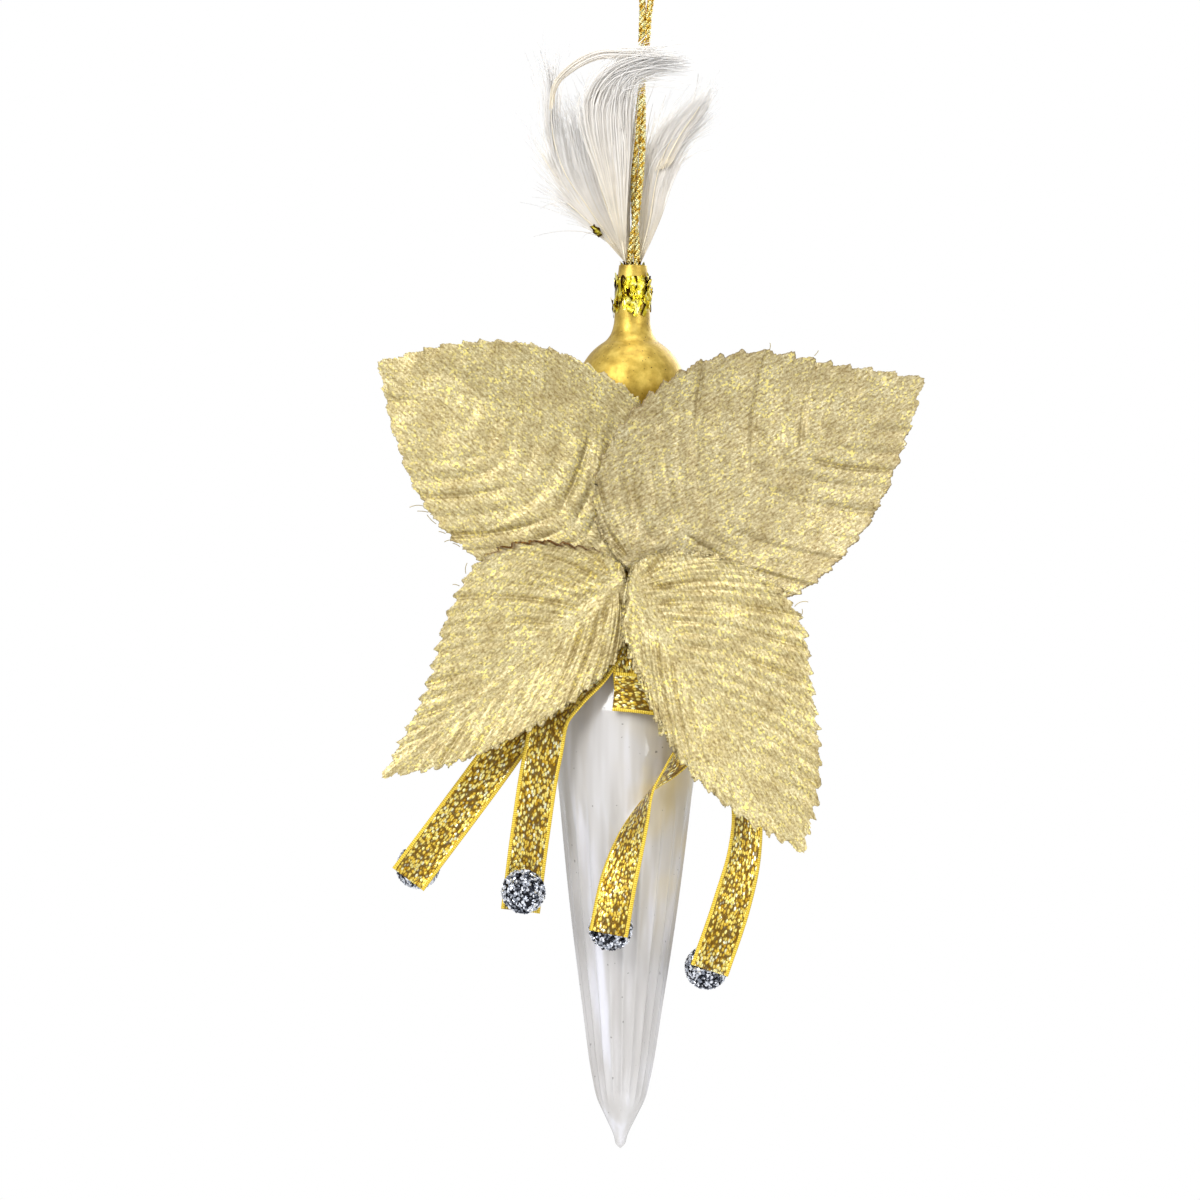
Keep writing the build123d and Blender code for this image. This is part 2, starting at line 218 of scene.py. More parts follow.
class Shader:
    """A Principled material with short calls for the nodes that feed it."""

    def __init__(self, name, **fixed):
        self.material = bpy.data.materials.new(name)
        self.material.use_nodes = True
        self.tree = self.material.node_tree
        self.surface = self.tree.nodes["Principled BSDF"]
        for socket, value in fixed.items():
            self.surface.inputs[socket.replace("_", " ")].default_value = value

    def node(self, kind, **settings):
        made = self.tree.nodes.new(kind)
        for key, value in settings.items():
            setattr(made, key, value)
        return made

    def feed(self, value, socket):
        """Links a socket's value to another socket, or sets a colour or a number there."""
        if isinstance(value, bpy.types.NodeSocket):
            self.tree.links.new(value, socket)
        elif hasattr(value, "__len__"):
            socket.default_value = (*value, 1)
        else:
            socket.default_value = value

    def place_on(self, kind="Object", scale=(1, 1, 1), turn=0.0):
        """Coordinates in millimetres: the object's own, or the surface's with kind UV."""
        mapping = self.node("ShaderNodeMapping")
        mapping.inputs["Rotation"].default_value = (0, 0, math.radians(turn))
        unit_scale = 1.0 if kind == "UV" else 1 / MM
        mapping.inputs["Scale"].default_value = [unit_scale * s for s in scale]
        self.feed(self.node("ShaderNodeTexCoord").outputs[kind], mapping.inputs["Vector"])
        return mapping.outputs["Vector"]

    def texture(self, kind, settings, **values):
        """The outputs of a texture node whose inputs are fed or set by name."""
        made = self.node("ShaderNodeTex" + kind, **settings)
        for socket, value in values.items():
            self.feed(value, made.inputs[socket])
        return made.outputs

    def noise(self, where, scale, detail=2.0, roughness=0.5, distortion=0.0):
        return self.texture("Noise", {}, Vector=where, Scale=scale, Detail=detail, Roughness=roughness,
                            Distortion=distortion)["Fac"]

    def cells(self, where, scale, output):
        return self.texture("Voronoi", {}, Vector=where, Scale=scale)[output]

    def wave(self, where, scale, distortion, direction="X"):
        settings = {"bands_direction": direction}
        return self.texture("Wave", settings, Vector=where, Scale=scale, Distortion=distortion)["Fac"]

    def ramp(self, value, *stops):
        """Stops are (place, level), a grey from 0 to 1, or (place, r, g, b), a display colour."""
        made = self.node("ShaderNodeValToRGB")
        points = made.color_ramp.elements
        for _ in stops[2:]:
            points.new(0.5)
        for point, (at, *colour) in zip(points, stops):
            point.position = at
            point.color = (*srgb(*colour), 1) if len(colour) == 3 else (*(3 * colour), 1)
        self.feed(value, made.inputs["Fac"])
        return made.outputs["Color"]

    def mix(self, factor, a, b, blend="MIX"):
        made = self.node("ShaderNodeMix", data_type="RGBA", blend_type=blend)
        for index, value in ((0, factor), (6, a), (7, b)):
            self.feed(value, made.inputs[index])
        return made.outputs[2]

    def tinted(self, colour, tint):
        return self.mix(1.0, colour, tint, "MULTIPLY")

    def math(self, operation, a, b=0.0, clamp=False):
        made = self.node("ShaderNodeMath", operation=operation, use_clamp=clamp)
        for socket, value in zip(made.inputs, (a, b)):
            self.feed(value, socket)
        return made.outputs[0]

    def plus(self, a, b):
        return self.math("ADD", a, b)

    def times(self, a, b, clamp=False):
        return self.math("MULTIPLY", a, b, clamp)

    def axis(self, where, name):
        split = self.node("ShaderNodeSeparateXYZ")
        self.feed(where, split.inputs[0])
        return split.outputs[name]

    def rise(self, where, name, start, rate):
        """0 up to start on an axis, in millimetres, and from there a rise to 1 at a rate per millimetre."""
        return self.times(self.plus(self.axis(where, name), -start), rate, clamp=True)

    def specks(self, where, scale, share):
        """1 in small sparse dots, 0 between them."""
        return self.ramp(self.noise(where, scale, detail=0), (0, 1), (share, 1), (share + 0.03, 0))

    def tone(self):
        return self.node("ShaderNodeAttribute", attribute_name="tone").outputs["Fac"]

    def bump(self, height, strength, distance_mm, normal=None):
        made = self.node("ShaderNodeBump")
        made.inputs["Strength"].default_value = strength
        made.inputs["Distance"].default_value = distance_mm * MM
        self.feed(height, made.inputs["Height"])
        if normal is not None:
            self.feed(normal, made.inputs["Normal"])
        return made.outputs["Normal"]

    def finish(self, colour, roughness=None, normal=None, metallic=None):
        fed = {"Base Color": colour, "Roughness": roughness, "Normal": normal, "Metallic": metallic}
        for socket, value in fed.items():
            if value is not None:
                self.feed(value, self.surface.inputs[socket])
        return self.material


# ---------------------------------------------------------------- materials
# Where the painted reflection on the glass and the painted shade on the leaves start, in millimetres in the
# row frame, and how much they grow with each millimetre.
REFLECTION_FROM_Z, REFLECTION_Z_RATE = -175.0, 0.03
REFLECTION_FROM_X, REFLECTION_X_RATE = -5.0, 0.09
LEAF_SHADE_FROM_Z, LEAF_SHADE_RATE = -150.0, 0.0125
SELVAGE_AT = 2.72  # where the selvage starts, from the ribbon's middle line, in millimetres


def pearl_glass():
    """Blown glass with a pearl lining: milky, faintly streaked from top to tip, with a painted yellowish
    reflection of the gold leaves on the upper right of its shoulder.
    """
    s = Shader("pearl_glass", Metallic=0.0, IOR=1.5, Coat_Weight=1.0, Coat_Roughness=0.05,
               Transmission_Weight=0.06, Specular_IOR_Level=0.5)
    where = s.place_on()
    streaks = s.noise(s.place_on(scale=(1, 1, 0.04)), 0.34, detail=2)
    pearl = s.ramp(streaks, (0.36, 197, 194, 192), (0.52, 209, 207, 207), (0.66, 228, 228, 236))
    height = s.rise(where, "Z", REFLECTION_FROM_Z, REFLECTION_Z_RATE)
    lean = s.rise(where, "X", REFLECTION_FROM_X, REFLECTION_X_RATE)
    painted_light_patches = s.ramp(s.noise(where, 0.11, detail=1), (0.38, 0.15), (0.6, 0.9))
    # painted reflection: a yellowish, patchy tint of the gold leaves over the upper right of the shoulder
    leaf_reflection = s.times(s.times(height, lean, clamp=True), painted_light_patches)
    colour = s.mix(leaf_reflection, pearl, srgb(226, 208, 160))
    colour = s.mix(s.times(s.specks(where, 1.3, 0.15), 0.6), colour, srgb(110, 108, 104))
    rough = s.ramp(s.noise(where, 0.6), (0.3, 0.15), (0.7, 0.27))
    return s.finish(colour, rough, s.bump(streaks, 0.06, 0.3))


def gold_lacquer():
    """Satin gold lacquer on glass, faintly mottled, with a few dark specks."""
    s = Shader("gold_lacquer", Metallic=0.8, Coat_Weight=0.25, Coat_Roughness=0.35)
    where = s.place_on()
    mottle = s.noise(where, 0.5, detail=5, roughness=0.6)
    colour = s.ramp(mottle, (0.32, 168, 138, 50), (0.5, 202, 171, 72), (0.68, 226, 197, 96))
    colour = s.mix(s.times(s.specks(where, 2.6, 0.19), 0.85), colour, srgb(74, 52, 12))
    rough = s.ramp(s.noise(where, 1.2, detail=4), (0.3, 0.38), (0.7, 0.52))
    return s.finish(colour, rough, s.bump(s.noise(where, 3.5, detail=3), 0.12, 0.05))


def gold_foil():
    """Crumpled bright foil; a low tone mixes in dark brown: painted shade along the sleeve's creases and at
    the scraps' edges, and scraps that are darker all over.
    """
    s = Shader("gold_foil", Metallic=1.0)
    where = s.place_on()
    tint = s.ramp(s.noise(where, 1.1, detail=3), (0.35, 196, 168, 26), (0.52, 238, 218, 62),
                  (0.66, 255, 248, 156))
    # low tone: painted shade in creases and at scraps' edges, and darker scraps
    colour = s.mix(s.ramp(s.tone(), (0.22, 0), (0.4, 1)), srgb(62, 38, 6), tint)
    rough = s.ramp(s.noise(where, 4.0), (0.3, 0.14), (0.7, 0.34))
    return s.finish(colour, rough, s.bump(s.noise(where, 1.6, detail=4), 0.5, 0.25))


def gold_lame():
    """Champagne lame: metallic grit on a faint weave with painted glitter and shade in its specks, painted
    sheen in broad soft areas, painted glints, painted shade towards the top, brown where tone is low, and
    painted shade over blades of lower tone.
    """
    s = Shader("gold_lame", Metallic=0.5, Sheen_Weight=0.1, Sheen_Roughness=0.4, Specular_IOR_Level=0.55)
    grit = s.noise(s.place_on("UV", scale=(0.8, 1.15, 1), turn=8), 2.3, detail=3, roughness=0.7)
    stretched = s.place_on("UV", scale=(0.35, 1.5, 1), turn=12)
    slubs = s.noise(stretched, 1.5, detail=3, roughness=0.6, distortion=0.3)
    painted_light_patches = s.noise(s.place_on("UV"), 0.16, detail=3, roughness=0.55)
    # the grit and slubs are the lame's grain; the ramp over them also paints glitter on its bright specks and
    # shade on its dark ones
    light = s.plus(s.times(grit, 0.62), s.times(slubs, 0.38))
    colour = s.ramp(light, (0.33, 134, 116, 66), (0.43, 182, 165, 116), (0.51, 210, 197, 154),
                    (0.58, 236, 225, 182), (0.65, 255, 252, 214))
    # painted sheen: the lame is made brighter or duller in broad soft areas, as crumpled cloth catching the
    # light
    tint = s.ramp(painted_light_patches, (0.32, 226, 218, 198), (0.52, 240, 236, 222), (0.7, 250, 249, 242))
    colour = s.tinted(colour, tint)
    # painted glints: sparse bright yellow specks, more of them where the painted sheen is brighter
    painted_glint_cells = s.axis(s.cells(s.place_on("UV", scale=(1, 1.3, 1), turn=8), 2.7, "Color"), "X")
    painted_glints = s.times(s.ramp(painted_glint_cells, (0.8, 0), (0.87, 1)), s.ramp(painted_light_patches, (0.42, 0.2), (0.6, 0.9)))
    colour = s.mix(painted_glints, colour, srgb(255, 238, 140))
    # painted shade: the lame gets darker towards the top, so the upper leaves look less lit than the lower
    # ones
    down = s.rise(s.place_on(), "Z", LEAF_SHADE_FROM_Z, LEAF_SHADE_RATE)
    colour = s.tinted(colour, s.ramp(down, (0, 1), (1, 0.885)))
    # a low tone darkens the lame: a little at the margins, brown along a curled edge, and painted shade over
    # a whole blade whose tone is lower
    margin_and_shade = s.ramp(s.tone(), (0, 132, 96, 40), (0.3, 242, 242, 250), (0.5, 255, 255, 255))
    colour = s.tinted(colour, margin_and_shade)
    weave = s.plus(*(s.wave(s.place_on("UV", turn=turn), 0.8, 0.6) for turn in (52, -40)))
    normal = s.bump(light, 0.55, 0.2, s.bump(weave, 0.18, 0.04))
    return s.finish(colour, s.ramp(light, (0.3, 0.58), (0.7, 0.34)), normal)


def gold_ribbon():
    """Glitter ribbon: foil slivers along a dark gold ground between bright woven selvages."""
    s = Shader("gold_ribbon", Sheen_Weight=0.1, Specular_IOR_Level=0.6)
    across = s.axis(s.place_on("UV"), "X")
    side = s.math("GREATER_THAN", s.math("ABSOLUTE", across), SELVAGE_AT)
    slivers = s.place_on("UV", scale=(1.0, 0.55, 1))
    reach = s.cells(slivers, 2.7, "Distance")
    shade = s.axis(s.cells(slivers, 2.7, "Color"), "X")
    body = s.ramp(shade, (0.04, 180, 138, 20), (0.3, 230, 194, 66), (0.6, 247, 223, 112),
                  (0.82, 255, 242, 152), (0.96, 255, 253, 210))
    body = s.mix(s.ramp(reach, (0.42, 0), (0.6, 0.9)), body, srgb(104, 70, 2))
    dark = s.tinted(body, srgb(136, 108, 18))
    body = s.mix(s.times(s.tone(), 0.95), body, dark)
    ribs = s.wave(s.place_on("UV"), 0.9, 0.3, "Y")
    colour = s.mix(side, body, s.ramp(ribs, (0.2, 210, 172, 34), (0.7, 246, 218, 74)))
    metal = s.ramp(side, (0, 0.8), (1, 0.3))
    rough = s.ramp(shade, (0, 0.5), (1, 0.24))
    glitter = s.times(s.math("SUBTRACT", 1.0, side), s.math("SUBTRACT", shade, reach))
    height = s.plus(glitter, s.times(side, ribs))
    return s.finish(colour, rough, s.bump(height, 0.7, 0.1), metal)


def gold_cord():
    """Bright metallic thread with painted glints, and painted shade between the strands and in the grooves
    between threads; UV X is the distance from the cord's line.
    """
    s = Shader("gold_cord", Metallic=0.75, Specular_IOR_Level=0.6)
    # the thread waves give a bump and also painted shade in the grooves between threads
    thread = s.wave(s.place_on("UV", turn=62), 1.3, 0.6)
    # painted glints: the near white top of this ramp
    glint = s.noise(s.place_on(scale=(1, 1, 0.55)), 1.9, detail=3, roughness=0.65)
    colour = s.ramp(glint, (0.36, 176, 126, 12), (0.46, 240, 200, 70), (0.55, 255, 253, 196))
    # painted shade between the strands: dark where the surface lies near the cord's line
    crease = s.ramp(s.axis(s.place_on("UV"), "X"), (0.4, 0.95), (0.53, 0))
    colour = s.mix(s.ramp(thread, (0, 0.5), (0.35, 0)), colour, srgb(120, 80, 6))
    colour = s.mix(crease, colour, srgb(58, 34, 0))
    return s.finish(colour, s.ramp(glint, (0.3, 0.36), (0.7, 0.18)), s.bump(thread, 0.8, 0.12))


def feather_barbs():
    """Soft off-white down, warmer towards the quill."""
    s = Shader("feather", Roughness=0.75, Sheen_Weight=0.35, Sheen_Roughness=0.5, Subsurface_Weight=0.25,
               Subsurface_Scale=0.002, Subsurface_Radius=(1.0, 0.9, 0.8), Specular_IOR_Level=0.25)
    colour = s.ramp(s.tone(), (0, 246, 232, 198), (0.5, 249, 243, 234), (1, 248, 247, 246))
    tips = s.ramp(s.noise(s.place_on(), 0.35, detail=2), (0.35, 0.93), (0.65, 1))
    return s.finish(s.tinted(colour, tips))


def bead_glitter():
    """Dark grit with silver facets, by tone."""
    s = Shader("glitter_bead", Metallic=0.8, Specular_IOR_Level=0.8)
    colour = s.ramp(s.tone(), (0, 18, 20, 28), (0.45, 58, 62, 74), (0.7, 132, 138, 150),
                    (0.88, 232, 236, 244))
    return s.finish(colour, s.ramp(s.noise(s.place_on(), 2.0), (0.3, 0.16), (0.7, 0.38)))


def stem_wire():
    s = Shader("stem_wire", Metallic=1.0)
    where = s.place_on()
    colour = s.ramp(s.noise(where, 0.8, detail=4), (0.3, 92, 84, 66), (0.7, 168, 160, 138))
    rough = s.ramp(s.noise(where, 3.0), (0.3, 0.3), (0.7, 0.55))
    return s.finish(colour, rough, s.bump(s.noise(where, 5.0), 0.2, 0.03))


def hot_glue():
    s = Shader("hot_glue", IOR=1.48, Transmission_Weight=0.35, Subsurface_Weight=0.4, Subsurface_Scale=0.002)
    where = s.place_on()
    colour = s.ramp(s.noise(where, 0.7, detail=3), (0.3, 206, 190, 148), (0.7, 236, 228, 202))
    rough = s.ramp(s.noise(where, 1.5), (0.3, 0.2), (0.7, 0.4))
    return s.finish(colour, rough, s.bump(s.noise(where, 1.2, detail=3), 0.3, 0.2))


MATERIALS = {
    "pearl_glass": pearl_glass(),
    "gold_lacquer": gold_lacquer(),
    "gold_foil": gold_foil(),
    "gold_lame": gold_lame(),
    "gold_ribbon": gold_ribbon(),
    "gold_cord": gold_cord(),
    "feather": feather_barbs(),
    "glitter_bead": bead_glitter(),
    "stem_wire": stem_wire(),
    "hot_glue": hot_glue(),
}
for part in frame["record"]["subparts"]:
    mesh = frame["nodes"][part["node"]].data
    mesh.materials.clear()
    mesh.materials.append(MATERIALS[part["material_slot"]])
    mesh.polygons.foreach_set("use_smooth", [True] * len(mesh.polygons))


# ---------------------------------------------------------------- camera, light and floor
VIEW_WIDTH = 0.204  # what the frame spans at the object, in metres
CAMERA_DISTANCE = 0.9
CAMERA_ROLL = math.radians(0.82)
AIM = rim_point((-4.78, 0, -56.95))
FLOOR_R = 0.6
FLOOR_Z = -0.46
FLOOR_SIDES = 96
# Each lamp's place from the point aimed at, its size in metres and its power in watts.
LIGHTS = {
    "key": ((-0.55, -0.85, 0.55), (0.5, 0.6), 7.6),
    "fill": ((0.7, -0.7, 0.1), (0.5, 0.7), 3.4),
    "top": ((0.05, -0.1, 0.9), (0.5, 0.4), 2.6),
    "back": ((0.5, 0.9, 0.4), (0.6, 0.6), 3.0),
}
WORLD_FRONT, WORLD_BACK = 0.7, 0.6


def make_camera():
    data = bpy.data.cameras.new("camera")
    data.sensor_width = 36
    data.lens = data.sensor_width * CAMERA_DISTANCE / VIEW_WIDTH
    camera = add_object("camera", data)
    camera.location = AIM + np.array((0, -CAMERA_DISTANCE, 0))
    camera.rotation_euler = (math.pi / 2, -CAMERA_ROLL, 0)
    bpy.context.scene.camera = camera


def make_light(name, offset, size, power):
    data = bpy.data.lights.new(name, "AREA")
    data.shape = "RECTANGLE"
    data.size, data.size_y = size
    data.energy = power
    light = add_object(name, data)
    light.location = AIM + np.array(offset)
    light.rotation_euler = (-Vector(offset)).to_track_quat("-Z", "Y").to_euler()


def make_world():
    """White where the camera looks past the object; for light, a studio that is brighter in front."""
    world = bpy.data.worlds.new("studio")
    bpy.context.scene.world = world
    world.use_nodes = True
    nodes, links = world.node_tree.nodes, world.node_tree.links
    direction = nodes.new("ShaderNodeTexCoord").outputs["Generated"]
    split = nodes.new("ShaderNodeSeparateXYZ")
    links.new(direction, split.inputs[0])
    fade = nodes.new("ShaderNodeMapRange")
    for socket, value in {"From Min": -1, "From Max": 1, "To Min": WORLD_FRONT, "To Max": WORLD_BACK}.items():
        fade.inputs[socket].default_value = value
    links.new(split.outputs["Y"], fade.inputs["Value"])
    background = nodes["Background"]
    seen = nodes.new("ShaderNodeLightPath").outputs["Is Camera Ray"]
    strength = nodes.new("ShaderNodeMix")
    links.new(seen, strength.inputs[0])
    links.new(fade.outputs["Result"], strength.inputs[2])
    strength.inputs[3].default_value = 1.0
    links.new(strength.outputs[0], background.inputs["Strength"])
    background.inputs["Color"].default_value = (1, 1, 1, 1)


def make_floor():
    s = Shader("floor", Roughness=0.9)
    colour = s.ramp(s.noise(s.place_on(), 0.004), (0.3, 0.86), (0.7, 0.9))
    angle = np.linspace(0, 2 * math.pi, FLOOR_SIDES, endpoint=False)
    ring = [(FLOOR_R * math.cos(a), FLOOR_R * math.sin(a), FLOOR_Z) for a in angle]
    floor = make_mesh("floor", ring, [tuple(range(FLOOR_SIDES))], s.finish(colour), smooth=False)


make_camera()
for name, lamp in LIGHTS.items():
    make_light(name, *lamp)
make_world()
make_floor()
bpy.context.scene.view_settings.view_transform = "Standard"

# ---------------------------------------------------------------- the cord
# The loop's corner points, in millimetres in the row frame. They follow the CAD cord, with the loop's foot
# drawn a little closer and one more point at each end, just inside the neck.
CORD_ROUTE = [
    (-2.6, 0, -55.7), (-2.61, 0, -54.2), (-2.32, -0.45, -51.4), (-1.75, -0.64, -48), (-1.11, -0.45, -43),
    (-0.7, 0, -37), (-0.66, 0.45, -30.5), (-0.87, 0.64, -24), (-1.11, 0.45, -18), (-0.95, 0, -12),
    (-1.1, -0.1, -8), (-2.35, 0, -4.4), (-2.45, 0, 0.55), (2.45, 0, 0.55), (2.4, 0, -4.4), (0.75, 0.1, -8),
    (0.05, 0, -12), (-0.2, -0.45, -18), (-0.87, -0.64, -24), (-1.56, -0.45, -30.5), (-1.99, 0, -37),
    (-2.02, 0.45, -43), (-1.75, 0.64, -48), (-1.42, 0.45, -51.4), (-1.33, 0, -54.2), (-1.34, 0, -55.7),
]
CORD_STEP = 0.18
STRANDS = 3
STRAND_R = 0.32
STRAND_OUT = 0.29  # from the cord's line to each strand's
STRAND_PITCH = 3.0
STRAND_SIDES = 9


def spline_points(route_mm):
    """Points along the smooth NURBS line that has the route's corners as its control points."""
    curve = bpy.data.curves.new("route", "CURVE")
    curve.dimensions = "3D"
    spline = curve.splines.new("NURBS")
    spline.points.add(len(route_mm) - 1)
    for point, place_mm in zip(spline.points, route_mm):
        point.co = (*(MM * c for c in place_mm), 1)
    spline.order_u = 3
    spline.use_endpoint_u = True
    spline.resolution_u = 24
    holder = add_object("route", curve)
    mesh = bpy.data.meshes.new_from_object(holder)
    points = np.array([v.co for v in mesh.vertices])
    bpy.data.objects.remove(holder)
    return points


def evenly(points, step):
    """The same path with points a fixed step apart."""
    length = path_length(points)
    at = np.linspace(0, length[-1], max(2, int(length[-1] / step)))
    return np.stack([np.interp(at, length, points[:, k]) for k in range(3)], axis=1)


def make_cord():
    """Metallic strands laid round each other along the loop."""
    path = evenly(spline_points(CORD_ROUTE), CORD_STEP * MM)
    along = path_length(path)
    _, n, b = carried_frames(path)
    vertices, faces, uv = [], [], []
    for k in range(STRANDS):
        turn = (2 * math.pi * (k / STRANDS + along / (STRAND_PITCH * MM)))[:, None]
        centre = path + STRAND_OUT * MM * (np.cos(turn) * n + np.sin(turn) * b)
        v, f = tube(centre, STRAND_R * MM, STRAND_SIDES)
        faces += [tuple(i + len(vertices) * len(v) for i in face) for face in f]
        vertices.append(v)
        stands_out = np.linalg.norm(v.reshape(-1, STRAND_SIDES, 3) - path[:, None], axis=-1) / MM
        uv.append(np.stack(np.broadcast_arrays(stands_out, along[:, None] / MM), -1).reshape(-1, 2))
    vertices, uv = np.concatenate(vertices), np.concatenate(uv)
    cord = make_mesh("cord_loop", vertices, faces, MATERIALS["gold_cord"], uv=uv)
    place(cord, "hanger", "gold_cord", "hanger_cord")


make_cord()

# ---------------------------------------------------------------- glass
BALL_R, BALL_Z = 9.2, -21.0
SEAM_Z = -43.0
GLASS_T = 0.7
FLUTES = 22
FLUTE_DEPTH = 0.5
FLUTE_SHARE = 0.86  # a groove's share of its pitch; a narrow ridge is left between grooves
FLUTES_TOP_Z, FLUTES_FADE_IN = -88.0, 9.0
FLUTES_FOOT_Z, FLUTES_FADE_OUT = -144.5, 6.0
FULL_FLUTE_R = 7.0  # below this radius the grooves get shallower
AROUND = FLUTES * 14


def bulb_outline():
    """(radius, z) down the neck, ball and waist."""
    neck = [(2.35, 0), (2.6, -2.2), (2.85, -4.5), (3, -8), (3.15, -10.2), (3.7, -11.9), (4.6, -13)]
    ball = [(math.sqrt(BALL_R**2 - (z - BALL_Z) ** 2), z) for z in np.linspace(-13.4, -28.7, 14)]
    waist = [(4.42, -30.4), (4.2, -34), (4.18, -39), (4.2, SEAM_Z)]
    return smooth_line(neck + ball + waist, 240)


def icicle_outline():
    """(radius, z) down the waist, shoulder, taper and tip."""
    upper = [(4.2, SEAM_Z), (4.2, -48), (4.25, -51), (5, -55.3), (6.1, -58.6), (8.1, -63.4), (10, -68),
             (11.5, -73.2), (12.2, -78.5), (12.12, -82.5), (11.75, -86)]
    lower = [(10.4, -99), (8.8, -112.3), (6.9, -125.6), (4.9, -138.4), (4.25, -141.2), (2.55, -144.9),
             (1.2, -147.8), (0.66, -149.5), (0, -150.1)]
    return smooth_line(upper + lower, 460)


def lathe(name, outline, material, flute=None):
    """A turned shell with an outer and an inner face; flute gives a groove's depth at angle, r and z."""
    angle = np.linspace(0, 2 * math.pi, AROUND, endpoint=False)
    rings = []
    inner = [(max(r - GLASS_T, 0.0), z) for r, z in outline[::-3] if r > GLASS_T]
    for r, z in list(outline) + inner:
        radius = np.full(AROUND, r)
        if flute and len(rings) < len(outline):
            radius -= flute(angle, r, z)
        rings.append(np.stack([radius * np.cos(angle), radius * np.sin(angle), np.full(AROUND, z)], -1))
    faces = grid_faces(len(rings), AROUND, closed=True)
    last = (len(rings) - 1) * AROUND
    faces += [(last + i, last + (i + 1) % AROUND, (i + 1) % AROUND, i) for i in range(AROUND)]
    shell = make_mesh(name, rim_point(np.concatenate(rings)), faces, material)
    weld(shell)
    return shell


def eased(t):
    """A smooth step from 0 to 1."""
    t = np.clip(t, 0, 1)
    return t * t * (3 - 2 * t)


def flute_groove(angle, r, z):
    """Long grooves of uneven depth that fade in below the shoulder and out above the tip."""
    fade = eased((FLUTES_TOP_Z - z) / FLUTES_FADE_IN) * eased((z - FLUTES_FOOT_Z) / FLUTES_FADE_OUT)
    pitch = 2 * math.pi / FLUTES
    number = np.round(angle / pitch)
    off = (angle / pitch - number) * 2
    uneven = 0.8 + 0.25 * np.sin(2.4 * number)
    depth = FLUTE_DEPTH * uneven * min(1.0, r / FULL_FLUTE_R)
    return fade * depth * np.clip(1 - (off / FLUTE_SHARE) ** 2, 0, 1)


bulb = lathe("glass_bulb", bulb_outline(), MATERIALS["gold_lacquer"])
place(bulb, "ornament", "gold_lacquer", "gold_bulb")
icicle = lathe("glass_icicle", icicle_outline(), MATERIALS["pearl_glass"], flute_groove)
place(icicle, "ornament", "pearl_glass", "icicle_glass")


# ---------------------------------------------------------------- foil on the neck
UP = np.array((0, 0, 1))
SLEEVE_COLUMNS, SLEEVE_ROWS = 150, 30
SLEEVE_T = 0.05
SCRAP_T = 0.04
SCRAPS = 52
LIFTED_EVERY = 11  # one scrap in so many stands out askew
MOUTH_CHIPS = 12
FLECK_AT = (-6.3, 0, 5.8)  # a loose fleck caught in the down
FLECK_TURN = -0.9


def neck_radius(z):
    return float(np.interp(-z, [0, 4.5, 8.0, 10.2, 11.9], [2.35, 2.85, 3.0, 3.15, 3.7]))


def make_foil_collar():
    """A crimped sleeve of foil with ragged ends and painted shade along its creases."""
    rng = np.random.default_rng(5)
    angle = np.linspace(0, 2 * math.pi, SLEEVE_COLUMNS, endpoint=False)
    ragged = np.array([noise.noise(Vector((3 * math.cos(a), 3 * math.sin(a), 0))) for a in angle])
    vertices, tones = [], []
    for v in np.arange(SLEEVE_ROWS) / (SLEEVE_ROWS - 1):
        for a, rag in zip(angle, ragged):
            z = -2.0 + 0.6 * rag - v * (5.2 - 1.5 * rag)
            crease = noise.noise(Vector((4.6 * math.cos(a), 4.6 * math.sin(a), z * 0.45)))
            r = neck_radius(z) + 0.08 + 0.2 * abs(crease)
            vertices.append((r * math.cos(a), r * math.sin(a), z))
            # painted shade: the tone follows the crease noise, so the folds are darker
            tones.append(np.clip(0.36 + 1.1 * crease + 0.1 * rng.normal(), 0, 1))
    collar = Pile()
    collar.add(rim_point(vertices), grid_faces(SLEEVE_ROWS, SLEEVE_COLUMNS, closed=True), tones)
    piece = collar.make("foil_sleeve", MATERIALS["gold_foil"], smooth=False)
    solidify(piece, -SLEEVE_T * MM)
    place(piece, "ornament", "gold_foil", "foil_collar")


def foil_chip(rng, long, wide, bend):
    """A small ragged, bent scrap of foil, flat on XY."""
    rows = 5
    vertices, tones = [], []
    for i in range(rows):
        u = i / (rows - 1) - 0.5
        half = wide / 2 * (0.65 + 0.5 * rng.random()) * (1 - 0.5 * abs(u))
        for side in (-1, 0, 1):
            x = u * long + 0.08 * rng.normal()
            vertices.append((x, side * half + 0.05 * rng.normal(), bend * u * u + 0.1 * rng.normal()))
            # painted shade: some points at a scrap's sides are nearly black
            tones.append(0.05 if side and rng.random() < 0.35 else 0.4 + 0.6 * rng.random())
    return np.array(vertices), grid_faces(rows, 3), np.array(tones)


def spun(x, y, turn):
    c, s = math.cos(turn), math.sin(turn)
    return x * c - y * s, x * s + y * c


def round_neck(a, out, side, z):
    """Points at an angle round the neck: how far out, how far to the side, and how high."""
    radial, sideways = np.array((math.cos(a), math.sin(a), 0)), np.array((-math.sin(a), math.cos(a), 0))
    return rim_point(out[:, None] * radial + side[:, None] * sideways + z[:, None] * UP)


